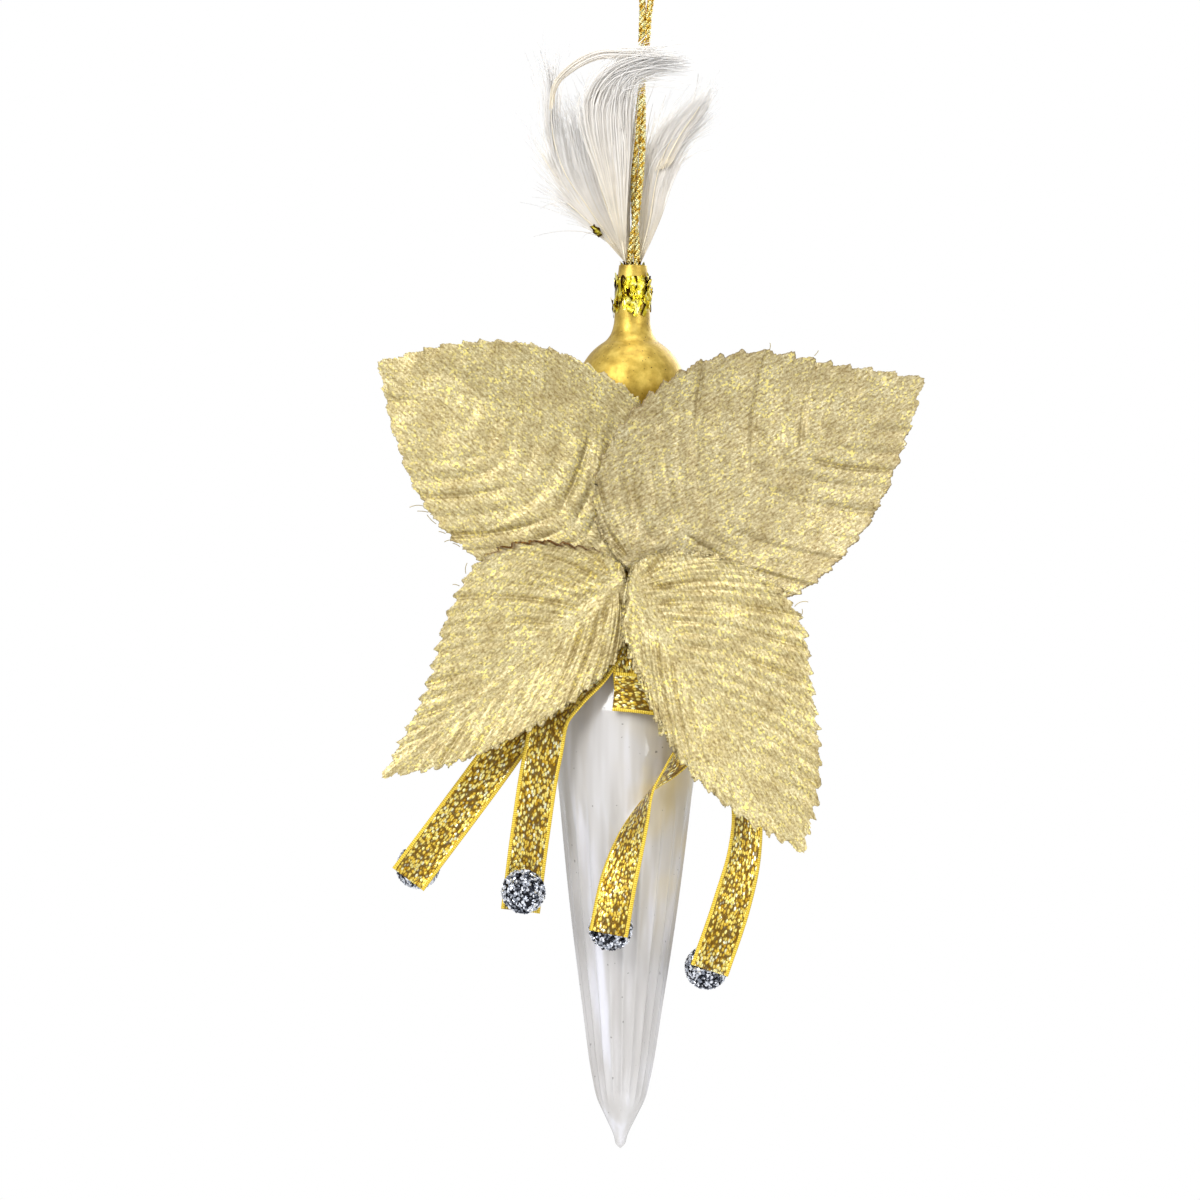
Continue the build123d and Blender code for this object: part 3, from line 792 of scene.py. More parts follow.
def make_foil_flakes():
    """Scraps pressed round the neck, small dark ones at its mouth and one loose fleck above."""
    rng = np.random.default_rng(11)
    pile = Pile()
    for k in range(SCRAPS):
        z = rng.uniform(-7.6, -2.1)
        a = rng.uniform(0, 2 * math.pi)
        long, wide = rng.uniform(1.6, 3.6), rng.uniform(0.6, 1.3)
        chip, faces, tones = foil_chip(rng, long, wide, rng.uniform(-0.6, 0.6))
        spin, lift = 0.38 * rng.normal() + math.pi / 2, rng.uniform(-0.08, 0.14)
        if k % LIFTED_EVERY == 0:
            spin, lift = rng.uniform(0.3, 1.2), rng.uniform(0.3, 0.6)
        side, up = spun(chip[:, 0], chip[:, 1], spin)
        out = 0.6 * chip[:, 2] + lift * up + neck_radius(z) + 0.22 + 0.2 * rng.random()
        dark = 0.2 if rng.random() < 0.25 else 1.0
        pile.add(round_neck(a, out, side, z + up), faces, tones * dark)
    for _ in range(MOUTH_CHIPS):
        chip, faces, tones = foil_chip(rng, rng.uniform(0.7, 1.5), rng.uniform(0.4, 0.7), 0.3)
        a = rng.uniform(0, 2 * math.pi)
        lean = rng.uniform(0.2, 1.3)
        out = 2.1 + chip[:, 2] + 0.3 * chip[:, 0]
        height = 0.15 + chip[:, 0] * math.sin(lean)
        pile.add(round_neck(a, out, chip[:, 1], height), faces, tones * rng.uniform(0.2, 0.6))
    fleck, faces, tones = foil_chip(rng, 2.4, 1.1, 0.3)
    side, up = spun(fleck[:, 0], fleck[:, 1], FLECK_TURN)
    turned = np.stack([side, fleck[:, 2] + 0.4, up], -1)
    pile.add(rim_point(turned + np.array(FLECK_AT)), faces, tones * 0.42)
    piece = pile.make("foil_scraps", MATERIALS["gold_foil"], smooth=False)
    solidify(piece, SCRAP_T * MM)
    place(piece, "ornament", "gold_foil", "foil_flakes")


make_foil_collar()
make_foil_flakes()

# ---------------------------------------------------------------- feathers
# Each tuft is a fan of strands between two guide lines, as (x, z) points from the quill's foot outwards.
# The numbers after the guides are the count of strands, how far their tips stray, and their depth.
TUFTS = {
    "feather_left": [
        ([[(-1.2, 0.4), (-5.5, 5.3), (-10.4, 11.4), (-13.4, 17.3), (-14.4, 22), (-14.6, 27.4)],
          [(-0.3, 0.4), (-0.7, 7), (-0.9, 13.4), (-0.7, 20), (-1, 26.4), (-4.4, 30.6)]],
         1300, 0.7, 1.35),
        ([[(-2, 1.4), (-8, 9), (-13, 16), (-14.8, 23), (-14.7, 30), (-16.8, 38.2)],
          [(-1.8, 1.6), (-7, 10), (-11.8, 17.5), (-13.6, 24), (-14.1, 30), (-12.6, 36.6)]],
         190, 0.45, 1.6),
        ([[(-3, 3.4), (-8, 9), (-12.6, 13.6), (-16.2, 18.6), (-18, 23.4), (-16.8, 26.6)],
          [(-3, 3.4), (-7.6, 9.2), (-12, 14.2), (-15.2, 18.8), (-17.2, 23), (-16, 26)]],
         16, 0.25, 1.7),
        ([[(-1.6, 1.2), (-4.6, 4.2), (-7.8, 6.6), (-10.4, 8.2), (-12.8, 9.2)],
          [(-4, 3.6), (-8, 8.2), (-11.2, 11.4), (-14, 14.2), (-17, 17.6)]],
         120, 1, 1.65),
    ],
    "feather_curl": [
        ([[(-1.5, 0.4), (-4, 9), (-6.4, 17), (-8.2, 23), (-8.4, 28.4), (-5.6, 32.4), (-0.4, 34.6),
           (9.4, 35.2)],
          [(-1.2, 0.4), (-1.3, 8), (-1.1, 15), (-1, 22), (-1.2, 27.4), (-0.6, 30.8), (2.6, 32.6),
           (9.8, 33.6)]],
         900, 0.55, -1.6),
        ([[(-14.6, 26), (-14, 30.6), (-10.9, 34.2), (-6.4, 36.4), (-1.8, 36.4), (9.2, 35.3)],
          [(-13.8, 26.4), (-13.2, 30.2), (-10.2, 33), (-6.2, 34.9), (-1.8, 35.1), (9.6, 34.2)]],
         110, 0.3, -1.5),
        ([[(-6, 31), (-3, 34.6), (0.6, 36.8), (4.4, 38.4)],
          [(-4, 33.4), (-1.8, 34.4), (1.2, 35.6), (4.8, 37)]],
         36, 0.5, -1.45),
    ],
    "feather_right": [
        ([[(0.5, 0.4), (1.2, 7), (1.5, 13), (2.4, 18.4), (5.2, 24), (10.2, 29.4)],
          [(1.3, 0.4), (4.4, 8.2), (6, 15), (8, 20.4), (11.4, 24.6), (13.8, 27.6)]],
         800, 0.6, 1.5),
        ([[(3.4, 16), (6.4, 22.4), (9.6, 27.4), (12.8, 32.6)],
          [(6, 17), (8.8, 22), (11.6, 26), (14, 30.8)]],
         150, 0.4, 1.45),
    ],
}
BARB_POINTS = 22
STRAY_SHARE, STRAY_MORE = 0.3, 3.6  # this share of the barbs strays so many times further
QUILL_R = 0.16
QUILL_POINTS = 16


def strand(path, width, depth_at):
    """A narrow curved strip of barb that faces the viewer, tapered to its tip."""
    tangent = unit(np.gradient(path, axis=0))
    side = np.stack([-tangent[:, 1], tangent[:, 0]], -1)
    share = np.linspace(0, 1, len(path))
    half = (width / 2 * np.minimum(1, 0.15 + 6 * share) * (1 - 0.75 * share**2))[:, None]
    rows = []
    for sign in (-1, 1):
        flat = path + sign * side * half
        rows.append(np.stack([flat[:, 0], depth_at + sign * 0.04, flat[:, 1]], -1))
    return np.stack(rows, 1).reshape(-1, 3), grid_faces(len(path), 2)


def make_feather(name, tufts, seed):
    rng = np.random.default_rng(seed)
    pile = Pile()
    share = np.linspace(0, 1, BARB_POINTS)
    for guides, count, stray, depth in tufts:
        first, second = (smooth_line(g, BARB_POINTS) for g in guides)
        for _ in range(count):
            w = rng.random()
            path = first * (1 - w) + second * w
            begin, end = 0.45 * rng.random() ** 2, rng.uniform(0.45, 1.0) ** 0.6
            part = begin + share * (end - begin)
            path = np.stack([np.interp(part, share, path[:, i]) for i in range(2)], -1)
            drift = rng.normal(size=2) * stray * (STRAY_MORE if rng.random() < STRAY_SHARE else 1.0)
            wave = 0.22 * stray * np.sin(share * rng.uniform(4, 9) + rng.uniform(0, 6.3))
            path = path + np.outer(share**2, drift) + np.stack([wave * share, -wave * share], -1)
            deeper = 1.8 * rng.random() ** 2 + 0.1 * rng.normal()
            layer = depth + deeper * math.copysign(1, depth) * part
            width = rng.uniform(0.08, 0.24)
            tone = np.clip(0.2 + 0.8 * part + 0.07 * rng.normal(), 0, 1)
            vertices, faces = strand(path, width, layer * np.minimum(1, 0.6 + part * 3))
            pile.add(rim_point(vertices), faces, np.repeat(tone, 2))
        middle = (first + second) / 2
        quill = np.stack([middle[:, 0], np.full(BARB_POINTS, depth * 0.85), middle[:, 1]], -1)
        radius = QUILL_R * MM * (1 - 0.9 * share)
        vertices, faces = tube(rim_point(quill[:QUILL_POINTS]), radius[:QUILL_POINTS], 6)
        pile.add(vertices, faces, 0.1)
    piece = pile.make(name + "_down", MATERIALS["feather"])
    place(piece, "ornament", "feather", name)


for seed, (name, tufts) in enumerate(TUFTS.items(), 20):
    make_feather(name, tufts, seed)

# ---------------------------------------------------------------- leaves
# Each blade has the ends and the cup radius of its CAD blade, and nearly its two margins, as (x, z) points;
# the lower leaves' inner margins run closer together here. veins, press and sweep set the embossed veins,
# pucker the gathers at the base, and tooth the pitch and depth of the cut edge. A crease is a line of (x, z)
# points, its depth and its reach. curled is the stretch of the upper margin that curls forward.
# tone is painted shade over the whole blade: the upper right blade's lower tone makes it look less lit.
LEAVES = {
    "upper_left": dict(
        base=(-1.6, -10.2, -51), tip=(-43, -4.6, -17.2), cup=60, seed=1, veins=8, press=1.5, tone=0.48,
        sweep=1.85, curled=None, pucker=0.4, tooth=(3.3, 0.6),
        creases=[([(-2.4, -17), (-5.6, -24.8), (-6.2, -32), (-6.4, -40), (-4.2, -47)], -0.6, 5),
                 ([(-41, -36.6), (-33, -37.4), (-26.4, -36.2), (-20, -33.2)], 0.4, 4),
                 ([(-36, -19), (-28.2, -20.4), (-26, -24), (-27.6, -27.4)], 0.25, 2),
                 ([(-31, -47), (-22, -44), (-14.6, -38.4), (-11, -30)], 0.3, 3)],
        upper=[(-0.8, -44), (0.8, -34), (2.2, -25), (-5.3, -18.7), (-15.6, -14.5), (-30, -14)],
        lower=[(-7, -53.2), (-16, -53.6), (-25.4, -50.3), (-34.8, -41), (-39.8, -29.8)]),
    "upper_right": dict(
        base=(0.6, -12.2, -50.6), tip=(49.5, -5.8, -18.7), cup=45, seed=2, veins=9, press=1.6, tone=0.33,
        sweep=2.1, curled=None, pucker=0.5, tooth=(3.5, 0.8),
        creases=[([(1.6, -44), (0.8, -36), (2.8, -29.6), (8.6, -24.6), (16, -21.6)], 0.35, 3),
                 ([(15.4, -43.6), (22, -47), (30, -50.2), (39, -50.6)], 0.4, 3.5),
                 ([(21, -37.4), (30, -39), (38, -41.6), (45.6, -41.4)], 0.35, 3.5)],
        upper=[(-4.9, -45.4), (-5.9, -38.4), (-3.4, -30.4), (3, -22.8), (11, -17.2), (20, -14.9),
               (35.5, -16.8)],
        lower=[(8, -56), (18, -58), (28, -55.4), (39.4, -44.4), (46.6, -28.6)]),
    "lower_left": dict(
        base=(-1.9, -14.4, -54.4), tip=(-40.8, -16.6, -87.2), cup=110, seed=3, veins=12, press=1.3, tone=0.5,
        sweep=2.8, curled=(0.08, 0.42), pucker=0.7, tooth=(2.7, 0.9),
        creases=[([(-3.4, -53.6), (-8, -57.4), (-12.6, -60), (-19, -60.4), (-27.4, -59)], 0.55, 3.5),
                 ([(-3, -52.6), (-9, -53), (-15, -54.6), (-21, -54.2)], 0.35, 2)],
        upper=[(-1.6, -51), (-4, -49.4), (-10.2, -48), (-18.6, -47.7), (-25.4, -51.2), (-30.2, -60),
               (-33.4, -71.5)],
        lower=[(-0.5, -56.4), (-0.45, -60), (-1.2, -65), (-8, -73), (-18.9, -80.1), (-30, -84.9)]),
    "lower_right": dict(
        base=(0.9, -14.9, -54.4), tip=(29.8, -19.4, -98.6), cup=110, seed=4, veins=13, press=1.3, tone=0.5,
        sweep=3.0, curled=None, pucker=0.6, tooth=(2.9, 1.05),
        creases=[([(4, -56.2), (9, -58), (16, -58.4), (22, -57.8), (28, -58.8)], 0.8, 5),
                 ([(7, -61.4), (13, -63.6), (20, -65), (29, -66.4)], 0.3, 2.5)],
        upper=[(0.9, -51), (3.6, -49.4), (11, -49), (20.4, -51.4), (27.6, -57.8), (30.9, -72), (32.2, -86)],
        lower=[(-0.6, -56.6), (-0.75, -60.4), (0.5, -66), (3.6, -73.8), (9.4, -84), (18.6, -92.2)]),
}
LEAF_T = 0.32
LEAF_ROWS = 340  # along each side, several to a tooth
LEAF_COLUMNS = 30  # from the midrib to the margin
BASE_SPREAD = 1.5  # how far a blade runs past the bend of its wire
WIRE_R = 0.4
TOOTH_BACK = 0.74  # the share of a tooth's pitch that rises; the rest is its steep front
TEETH_FROM = 0.84  # the teeth push out the grid from here to the margin
SAG = 0.07
GROOVE_DEPTH, GROOVE_WIDTH = 0.22, 0.5
PILLOW = 0.26
MIDRIB_HEIGHT, MIDRIB_WIDTH = 0.3, 0.6
WAVE = 0.5
FOLD = 0.55
ROOM = 1.5  # veins closer together than this fade out
CRUMPLE = 0.34
CREASE_WALL = 0.6  # how wide a crease's sharp side is
CREASE_POINTS = 40
CURL_LIFT, CURL_DARK = 0.8, 0.42


def leaf_axes(leaf):
    """The midrib's direction, the direction across it, the way out of the front face, and its length."""
    base, tip = np.array(leaf["base"]), np.array(leaf["tip"])
    along = unit(tip - base)
    across = unit(np.cross(along, (0, 1, 0)))
    return along, across, np.cross(along, across), np.linalg.norm(tip - base)


def toothed(leaf, margin, rng):
    """How far each point of a margin stands out, as saw teeth that lean to the tip; none at the base."""
    pitch, depth = leaf["tooth"]
    length = path_length(margin)
    count = int(length[-1] / pitch)
    marks = np.cumsum(rng.uniform(0.7, 1.3, count + 1))
    marks = (marks - marks[0]) / (marks[-1] - marks[0]) * length[-1]
    size = rng.uniform(0.55, 1.2, count + 1)
    i = np.clip(np.searchsorted(marks, length, side="right") - 1, 0, count - 1)
    u = (length - marks[i]) / (marks[i + 1] - marks[i])
    rise = np.where(u < TOOTH_BACK, (u / TOOTH_BACK) ** 1.3, (1 - u) / (1 - TOOTH_BACK))
    fade = np.clip(length / 9.0, 0, 1) ** 2 * np.clip((length[-1] - length) / 1.5, 0, 1)
    return ((rise - 0.45) * depth * size[i] + 0.09 * rng.normal(size=len(length))) * fade


def leaf_side(leaf, side, rng):
    """Points of half a blade in the XZ plane as a grid of rows (along) by columns (midrib to margin)."""
    along = leaf_axes(leaf)[0]
    base, tip = (np.array(leaf["base"]) - BASE_SPREAD * along)[[0, 2]], np.array(leaf["tip"])[[0, 2]]
    margin = smooth_line([base, *leaf[side], tip], LEAF_ROWS)
    w = np.linspace(0, 1, LEAF_ROWS)
    rib = base + (w ** leaf["sweep"])[:, None] * (tip - base)
    v = 1 - (1 - np.linspace(0, 1, LEAF_COLUMNS)) ** 1.35
    span = margin - rib
    sag = -SAG * np.linalg.norm(span, axis=1)[:, None] * unit(tip - base)
    bow = np.sin(math.pi * v)[None, :, None]
    grid = rib[:, None] + span[:, None] * v[None, :, None] + sag[:, None] * bow
    tangent = unit(np.gradient(margin, axis=0))
    outward = np.stack([tangent[:, 1], -tangent[:, 0]], -1)
    if np.mean(np.sum(span * outward, axis=1)) < 0:
        outward = -outward
    push = np.clip((v - TEETH_FROM) / (1 - TEETH_FROM), 0, 1)[None, :, None]
    height = toothed(leaf, margin, rng)[:, None]
    return grid + push * (height * (outward + 0.5 * tangent))[:, None], w, v


def drift_over(grid, scale, seed):
    """Slow noise over a grid of (x, z) points, sampled at every fourth and filled in between."""
    rows, columns = np.arange(0, len(grid), 4), np.arange(0, grid.shape[1], 4)
    coarse = [[noise.noise(Vector((*(scale * grid[r, c]), seed))) for c in columns] for r in rows]
    across = np.array([np.interp(np.arange(grid.shape[1]), columns, row) for row in coarse])
    return np.array([np.interp(np.arange(len(grid)), rows, column) for column in across.T]).T


def leaf_relief(leaf, grid, w, v, lateral, rng):
    """How far the embossed blade stands out of its smooth cup: vein grooves, the pillows between them, a
    midrib, one long wave and soft folds. The veins fade out where they would crowd together."""
    onward, outward = np.gradient(grid, axis=0) / (w[1] - w[0]), unit(np.gradient(grid, axis=1) + 1e-9)
    spacing = np.abs(onward[..., 0] * outward[..., 1] - onward[..., 1] * outward[..., 0])
    count = leaf["veins"]
    drift = np.array([noise.noise(Vector((6 * x, 7.1 * leaf["seed"], 0))) for x in w])
    phase = np.clip((w + 0.045 * drift) * count, 0, count)
    near = np.round(phase).astype(int)
    to_vein = np.abs(phase - near) / count
    distance = to_vein[:, None] * spacing
    ends = (np.clip(w / 0.16, 0, 1) * np.clip((1 - w) / 0.1, 0, 1))[:, None]
    off_rib = np.clip((np.abs(lateral) - 0.7) / 1.5, 0, 1)
    strength = rng.uniform(0.1, 1.45, count + 1)
    press = leaf["press"] * np.clip(0.8 + 1.1 * drift_over(grid, 0.08, 3.7), 0.2, 1.3)
    groove = GROOVE_DEPTH * strength[near][:, None] * np.exp(-((distance / GROOVE_WIDTH) ** 2))
    pillow = PILLOW * np.sin(math.pi * np.clip(to_vein * 2 * count, 0, 1))[:, None]
    midrib = MIDRIB_HEIGHT * np.exp(-((lateral / MIDRIB_WIDTH) ** 2)) * (1 - 0.5 * w)[:, None]
    turns, offset = rng.uniform(2.2, 3.4), rng.uniform(0, 6.3)
    wave = WAVE * np.sin(w * turns * math.pi + offset)[:, None] * (v**2)[None, :]
    roomy = np.clip(spacing / count / ROOM - 0.5, 0, 1)
    folds = FOLD * drift_over(grid, 0.085, 5.3 * leaf["seed"]) * np.clip(np.abs(lateral) / 6, 0, 1)
    return (pillow - groove) * press * off_rib * ends * roomy + (wave + folds) * ends + midrib


def base_pucker(leaf, flat, lateral):
    """Folds that fan out from where the blade is gathered at its base."""
    away = np.linalg.norm(flat, axis=-1)
    heading = np.arctan2(flat[..., 1], flat[..., 0])
    swirl = np.sin(9 * heading + leaf["seed"] + 0.12 * away) + 0.6 * np.sin(16 * heading - 0.2 * away)
    grow = np.clip((away - 1.5) / 3.0, 0, 1) * np.exp(-away / 13.0) * np.clip(np.abs(lateral) / 1.6, 0, 1)
    return leaf["pucker"] * swirl * grow


def crumple(grid, seed):
    """Fine irregular puckers of the pressed cloth, of two sizes."""
    total = 0
    for scale, share in ((0.16, 1), (0.5, 0.45)):
        made = [noise.noise(Vector((scale * x, scale * z, seed))) for x, z in grid.reshape(-1, 2)]
        total = total + share * np.reshape(made, grid.shape[:-1])
    return CRUMPLE * total


def crease_drop(grid, line, depth, reach):
    """How far the blade drops at a crease: steeply on one side of its line, easing back over reach on the
    other. The eased side is on the left of the line as it is drawn, or on its right if depth is negative."""
    line = smooth_line(line, CREASE_POINTS)
    nearest = np.argmin(np.linalg.norm(grid[:, :, None] - line, axis=-1), axis=-1)
    tangent = unit(np.gradient(line, axis=0))[nearest]
    offset = grid - line[nearest]
    aside = tangent[..., 0] * offset[..., 1] - tangent[..., 1] * offset[..., 0]
    beyond = np.sum(tangent * offset, axis=-1)
    to_eased = math.copysign(1, depth) * aside
    wall = np.exp(-((to_eased / CREASE_WALL) ** 2))
    drop = np.where(to_eased > 0, np.exp(-np.abs(to_eased) / reach), wall)
    fade = np.sin(math.pi * np.clip(nearest / (CREASE_POINTS - 1), 0.06, 0.94)) ** 0.6
    return abs(depth) * drop * fade * np.exp(-(beyond**2))


def leaf_surface(leaf, side, rng):
    """Points, cloth coordinates and tones of half a blade, in millimetres; its margin is a little darker."""
    grid, w, v = leaf_side(leaf, side, rng)
    along, across, out, _ = leaf_axes(leaf)
    base = np.array(leaf["base"])
    flat = grid - base[[0, 2]]
    along_flat = unit(along[[0, 2]])
    lateral = flat @ across[[0, 2]]
    lift = leaf["cup"] - np.sqrt(leaf["cup"] ** 2 - lateral**2)
    reach = (flat @ along_flat - lift * (out[[0, 2]] @ along_flat)) / np.linalg.norm(along[[0, 2]])
    lift = lift + leaf_relief(leaf, grid, w, v, lateral, rng)
    lift = lift + base_pucker(leaf, flat, lateral)
    lift = lift + crumple(grid, leaf["seed"] * 7.3) * np.clip((np.abs(lateral) - 0.5) / 3, 0, 1)
    for crease in leaf["creases"]:
        lift = lift - crease_drop(grid, *crease)
    # the blade's tone paints shade over all of it; the drop in tone at the margin is its darker cut edge
    tone = leaf["tone"] - 0.16 * np.clip((v - 0.985) / 0.015, 0, 1)[None, :] + np.zeros_like(lateral)
    if side == "upper" and leaf["curled"]:
        start, end = leaf["curled"]
        middle = np.sin(math.pi * np.clip((w - start) / (end - start), 0, 1))[:, None]
        lift = lift + CURL_LIFT * middle * np.clip((v - 0.8) / 0.2, 0, 1)[None, :] ** 2
        tone = tone - CURL_DARK * np.sqrt(middle) * np.clip((v - 0.93) / 0.03, 0, 1)[None, :]
    points = base + reach[..., None] * along + lateral[..., None] * across + lift[..., None] * out
    uv = np.stack([reach, lateral], -1)
    return points.reshape(-1, 3), uv.reshape(-1, 2), tone.ravel()


def make_leaf(name, leaf):
    """A blade and its threads."""
    rng = np.random.default_rng(leaf["seed"])
    halves = [leaf_surface(leaf, side, rng) for side in ("upper", "lower")]
    points, uvs, tones = (np.concatenate(parts) for parts in zip(*halves))
    faces = [face for start in (0, LEAF_ROWS * LEAF_COLUMNS)
             for face in grid_faces(LEAF_ROWS, LEAF_COLUMNS, start=start)]
    piece = make_mesh(f"leaf_{name}_cloth", rim_point(points), faces, MATERIALS["gold_lame"], uv=uvs)
    set_tones(piece, tones)
    weld(piece, 1e-5)
    if sum(p.normal.y * p.area for p in piece.data.polygons) > 0:
        piece.data.flip_normals()
    solidify(piece, LEAF_T * MM)
    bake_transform(piece)
    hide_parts(f"leaf_{name}")
    make_threads(name)


def between(first, last, count):
    """Points evenly from one point to another."""
    return [first + (last - first) * t for t in np.linspace(0, 1, count)]


def make_wire(name, leaf):
    """The leaf's wire, from behind the midrib round its bend and back into the knot."""
    along, _, out, length = leaf_axes(leaf)
    bend = np.array(leaf["base"]) - (0.45 + WIRE_R) * out
    far = bend + along * 0.6 * length
    back = np.array((bend[0], -6.0, bend[2]))
    corner = min(0.9, 0.4 * np.linalg.norm(back - bend))
    before, after = bend + unit(far - bend) * corner, bend + unit(back - bend) * corner
    knee = [before * (1 - t) ** 2 + 2 * t * (1 - t) * bend + after * t * t for t in np.linspace(0, 1, 9)]
    path = np.array(between(far, before, 24)[:-1] + knee + between(after, back, 6)[1:])
    vertices, faces = tube(rim_point(path), WIRE_R * MM, 12)
    piece = make_mesh(f"leaf_{name}_wire", vertices, faces, MATERIALS["stem_wire"])
    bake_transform(piece)
    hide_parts(f"wire_{name}", f"stem_{name}")


# Loose threads at the margins: a start (x, y, z), a direction (x, z), a length, and how it curls.
THREADS = {
    "upper_left": [
        ((-34.6, -7.2, -41.6), (-0.9, 0.3), 2.6, 0.5), ((-33.8, -7.3, -42.6), (-0.95, 0.25), 2, 0.2),
        ((-32.4, -7.5, -44.6), (-0.8, 0.45), 2.4, -0.3), ((-29.6, -7.9, -47.2), (-0.95, 0.1), 1.6, 0.4),
        ((-28.4, -8, -48.4), (-0.7, 0.6), 1.5, 0.3), ((-30.9, -7.8, -46.2), (-0.8, 0.5), 1.3, 0.3)],
    "lower_left": [
        ((-27.2, -15, -53), (-0.3, 0.9), 2, -0.5), ((-28.2, -15.1, -55), (-0.8, 0.5), 1.3, 0.4)],
    "upper_right": [
        ((23, -10.6, -14.7), (0.5, 0.9), 1.4, 0.5), ((30.6, -9.5, -15.4), (0.8, 0.6), 1.2, 0.3)],
    "lower_right": [
        ((27.6, -16.4, -57.8), (0.5, 0.85), 2.8, -0.8), ((28.2, -16.5, -59.6), (0.9, 0.4), 2, 0.9),
        ((24.6, -16.2, -54.4), (0.4, 0.9), 1.4, 0.4)],
}
THREAD_R = 0.07
THREAD_POINTS = 12


def make_threads(name):
    pile = Pile()
    t = np.linspace(0, 1, THREAD_POINTS)
    for (x, y, z), heading, length, curl in THREADS[name]:
        angle = math.atan2(heading[1], heading[0]) + curl * 1.6 * t
        along_x, along_z = (np.cumsum(turn(angle)) * length / THREAD_POINTS for turn in (np.cos, np.sin))
        path = np.stack([x + along_x, y - 0.3 * t, z + along_z], -1)
        pile.add(*tube(rim_point(path), THREAD_R * MM, 5))
    piece = pile.make(f"leaf_{name}_threads", MATERIALS["gold_lame"])
    place(piece, f"{name}_leaf", "gold_lame")
    return piece


for name, leaf in LEAVES.items():
    make_leaf(name, leaf)
    make_wire(name, leaf)

# ---------------------------------------------------------------- ribbons
# Sections (x, y, z, turn) down each ribbon's middle line, in two lists: the top part, tied to the knot, and
# the tail that hangs from there.
RIBBONS = {
    1: ([(-4.8, -7.5, -56.6, 0), (-8.8, -8.9, -63.6, 0), (-12.6, -9.1, -70.8, 0)],
        [(-17.4, -9.1, -77.8, 0), (-21.4, -9.2, -83.6, 0), (-36.4, -9.4, -104.4, 0)]),
    2: ([(-2, -8.4, -57.4, 0), (-3, -10.2, -63.5, 15), (-5.6, -11.5, -69, 36), (-9.2, -12, -72.8, 36),
         (-12.2, -11.8, -76, 20)],
        [(-14, -11.2, -83, 0), (-15.9, -10.7, -96, 0), (-17.4, -10.3, -109.4, 0)]),
    3: ([(4.2, -8.3, -57.4, 0), (9.3, -10.8, -66.4, 0), (12.9, -12.2, -73.8, -12), (13.1, -12.4, -75.1, -18)],
        [(12.9, -12.6, -77.6, -26), (10.9, -12.9, -80.8, -46), (7.6, -13.3, -84.8, -64),
         (4.2, -14.2, -88.6, -90), (1.8, -15.3, -94, -122), (-0.8, -16.6, -102.6, -156),
         (-2.6, -17.4, -112.6, -176)]),
    4: ([(5.4, -6.9, -56, 0), (10.8, -8.4, -64.4, 0), (14.6, -9.2, -72.6, 0)],
        [(18, -9.5, -82, -20), (20.3, -9.6, -92, -38), (20, -9.6, -99, -30), (18, -9.6, -108, -10),
         (14.5, -9.5, -119, 0)]),
}
BEADS = {
    1: (-34.9, -5.3, -102.5),
    2: (-16.9, -14.45, -105.9),
    3: (-2.2, -13.35, -111.9),
    4: (14.1, -5.5, -118.8),
}
BEAD_IN_FRONT = 2  # this bead is on its ribbon's face; the others show dark through theirs
DARK_REACH = 4.4
BEAD_R = 3.65
RIBBON_W = 6.6
RIBBON_STEP = 0.22
RIBBON_COLUMNS = 27
SELVAGE_T = 0.42
BODY_T = 0.24
EDGE_T = 0.16
RIBBON_CURL = 0.25
RIBBON_GRIT = 0.11
TURN_SCALE = 0.05  # weighs degrees of turn against millimetres when sections are spaced


def strip(centre, width, face, seed):
    """Closed strip of ribbon about a middle line, as points, faces and cloth coordinates in millimetres."""
    u = np.linspace(-RIBBON_W / 2, RIBBON_W / 2, RIBBON_COLUMNS)
    edge = np.clip((np.abs(u) - (SELVAGE_AT - 0.15)) / 0.2, 0, 1)
    half = (BODY_T + (SELVAGE_T - BODY_T) * edge) / 2
    half[[0, -1]] = EDGE_T / 2
    v = path_length(centre)
    curl = RIBBON_CURL * (u / (RIBBON_W / 2)) ** 2
    rough = np.array([
        [noise.noise(Vector((1.9 * x, 0.9 * y, seed * 3.1))) * (1 - e) for x, e in zip(u, edge)] for y in v
    ])
    sides = []
    for sign in (-1, 1):
        lift = sign * half[None, :] - curl[None, :] + RIBBON_GRIT * rough * sign
        sides.append(centre[:, None] + u[None, :, None] * width[:, None] + lift[..., None] * face[:, None])
    front, back = sides
    points = np.concatenate([front, back[:, ::-1]], axis=1)
    rows, columns = points.shape[:2]
    faces = grid_faces(rows, columns, closed=True)
    for start in (0, (rows - 1) * columns):
        faces += [
            (start + i, start + i + 1, start + columns - 2 - i, start + columns - 1 - i)
            for i in range(RIBBON_COLUMNS - 1)
        ]
    uv = np.stack(np.broadcast_arrays(u[None, :], v[:, None]), -1)
    uv = np.concatenate([uv, uv[:, ::-1]], axis=1)
    return points.reshape(-1, 3), faces, uv.reshape(-1, 2)


def turned_strip(sections, seed):
    """A strip through (x, y, z, turn) sections, whose face is turned about its line by turn degrees."""
    line = np.asarray(sections, float)
    rows = max(12, int(path_length(line[:, :3])[-1] / RIBBON_STEP))
    smooth = smooth_line(line * np.array((1, 1, 1, TURN_SCALE)), rows)
    centre, turn = smooth[:, :3], np.radians(smooth[:, 3] / TURN_SCALE)
    along = unit(np.gradient(centre, axis=0))
    across = unit(np.cross((0.0, 1.0, 0.0), along))
    normal = np.cross(along, across)
    c, s = np.cos(turn)[:, None], np.sin(turn)[:, None]
    return strip(centre, c * across + s * normal, -s * across + c * normal, seed)


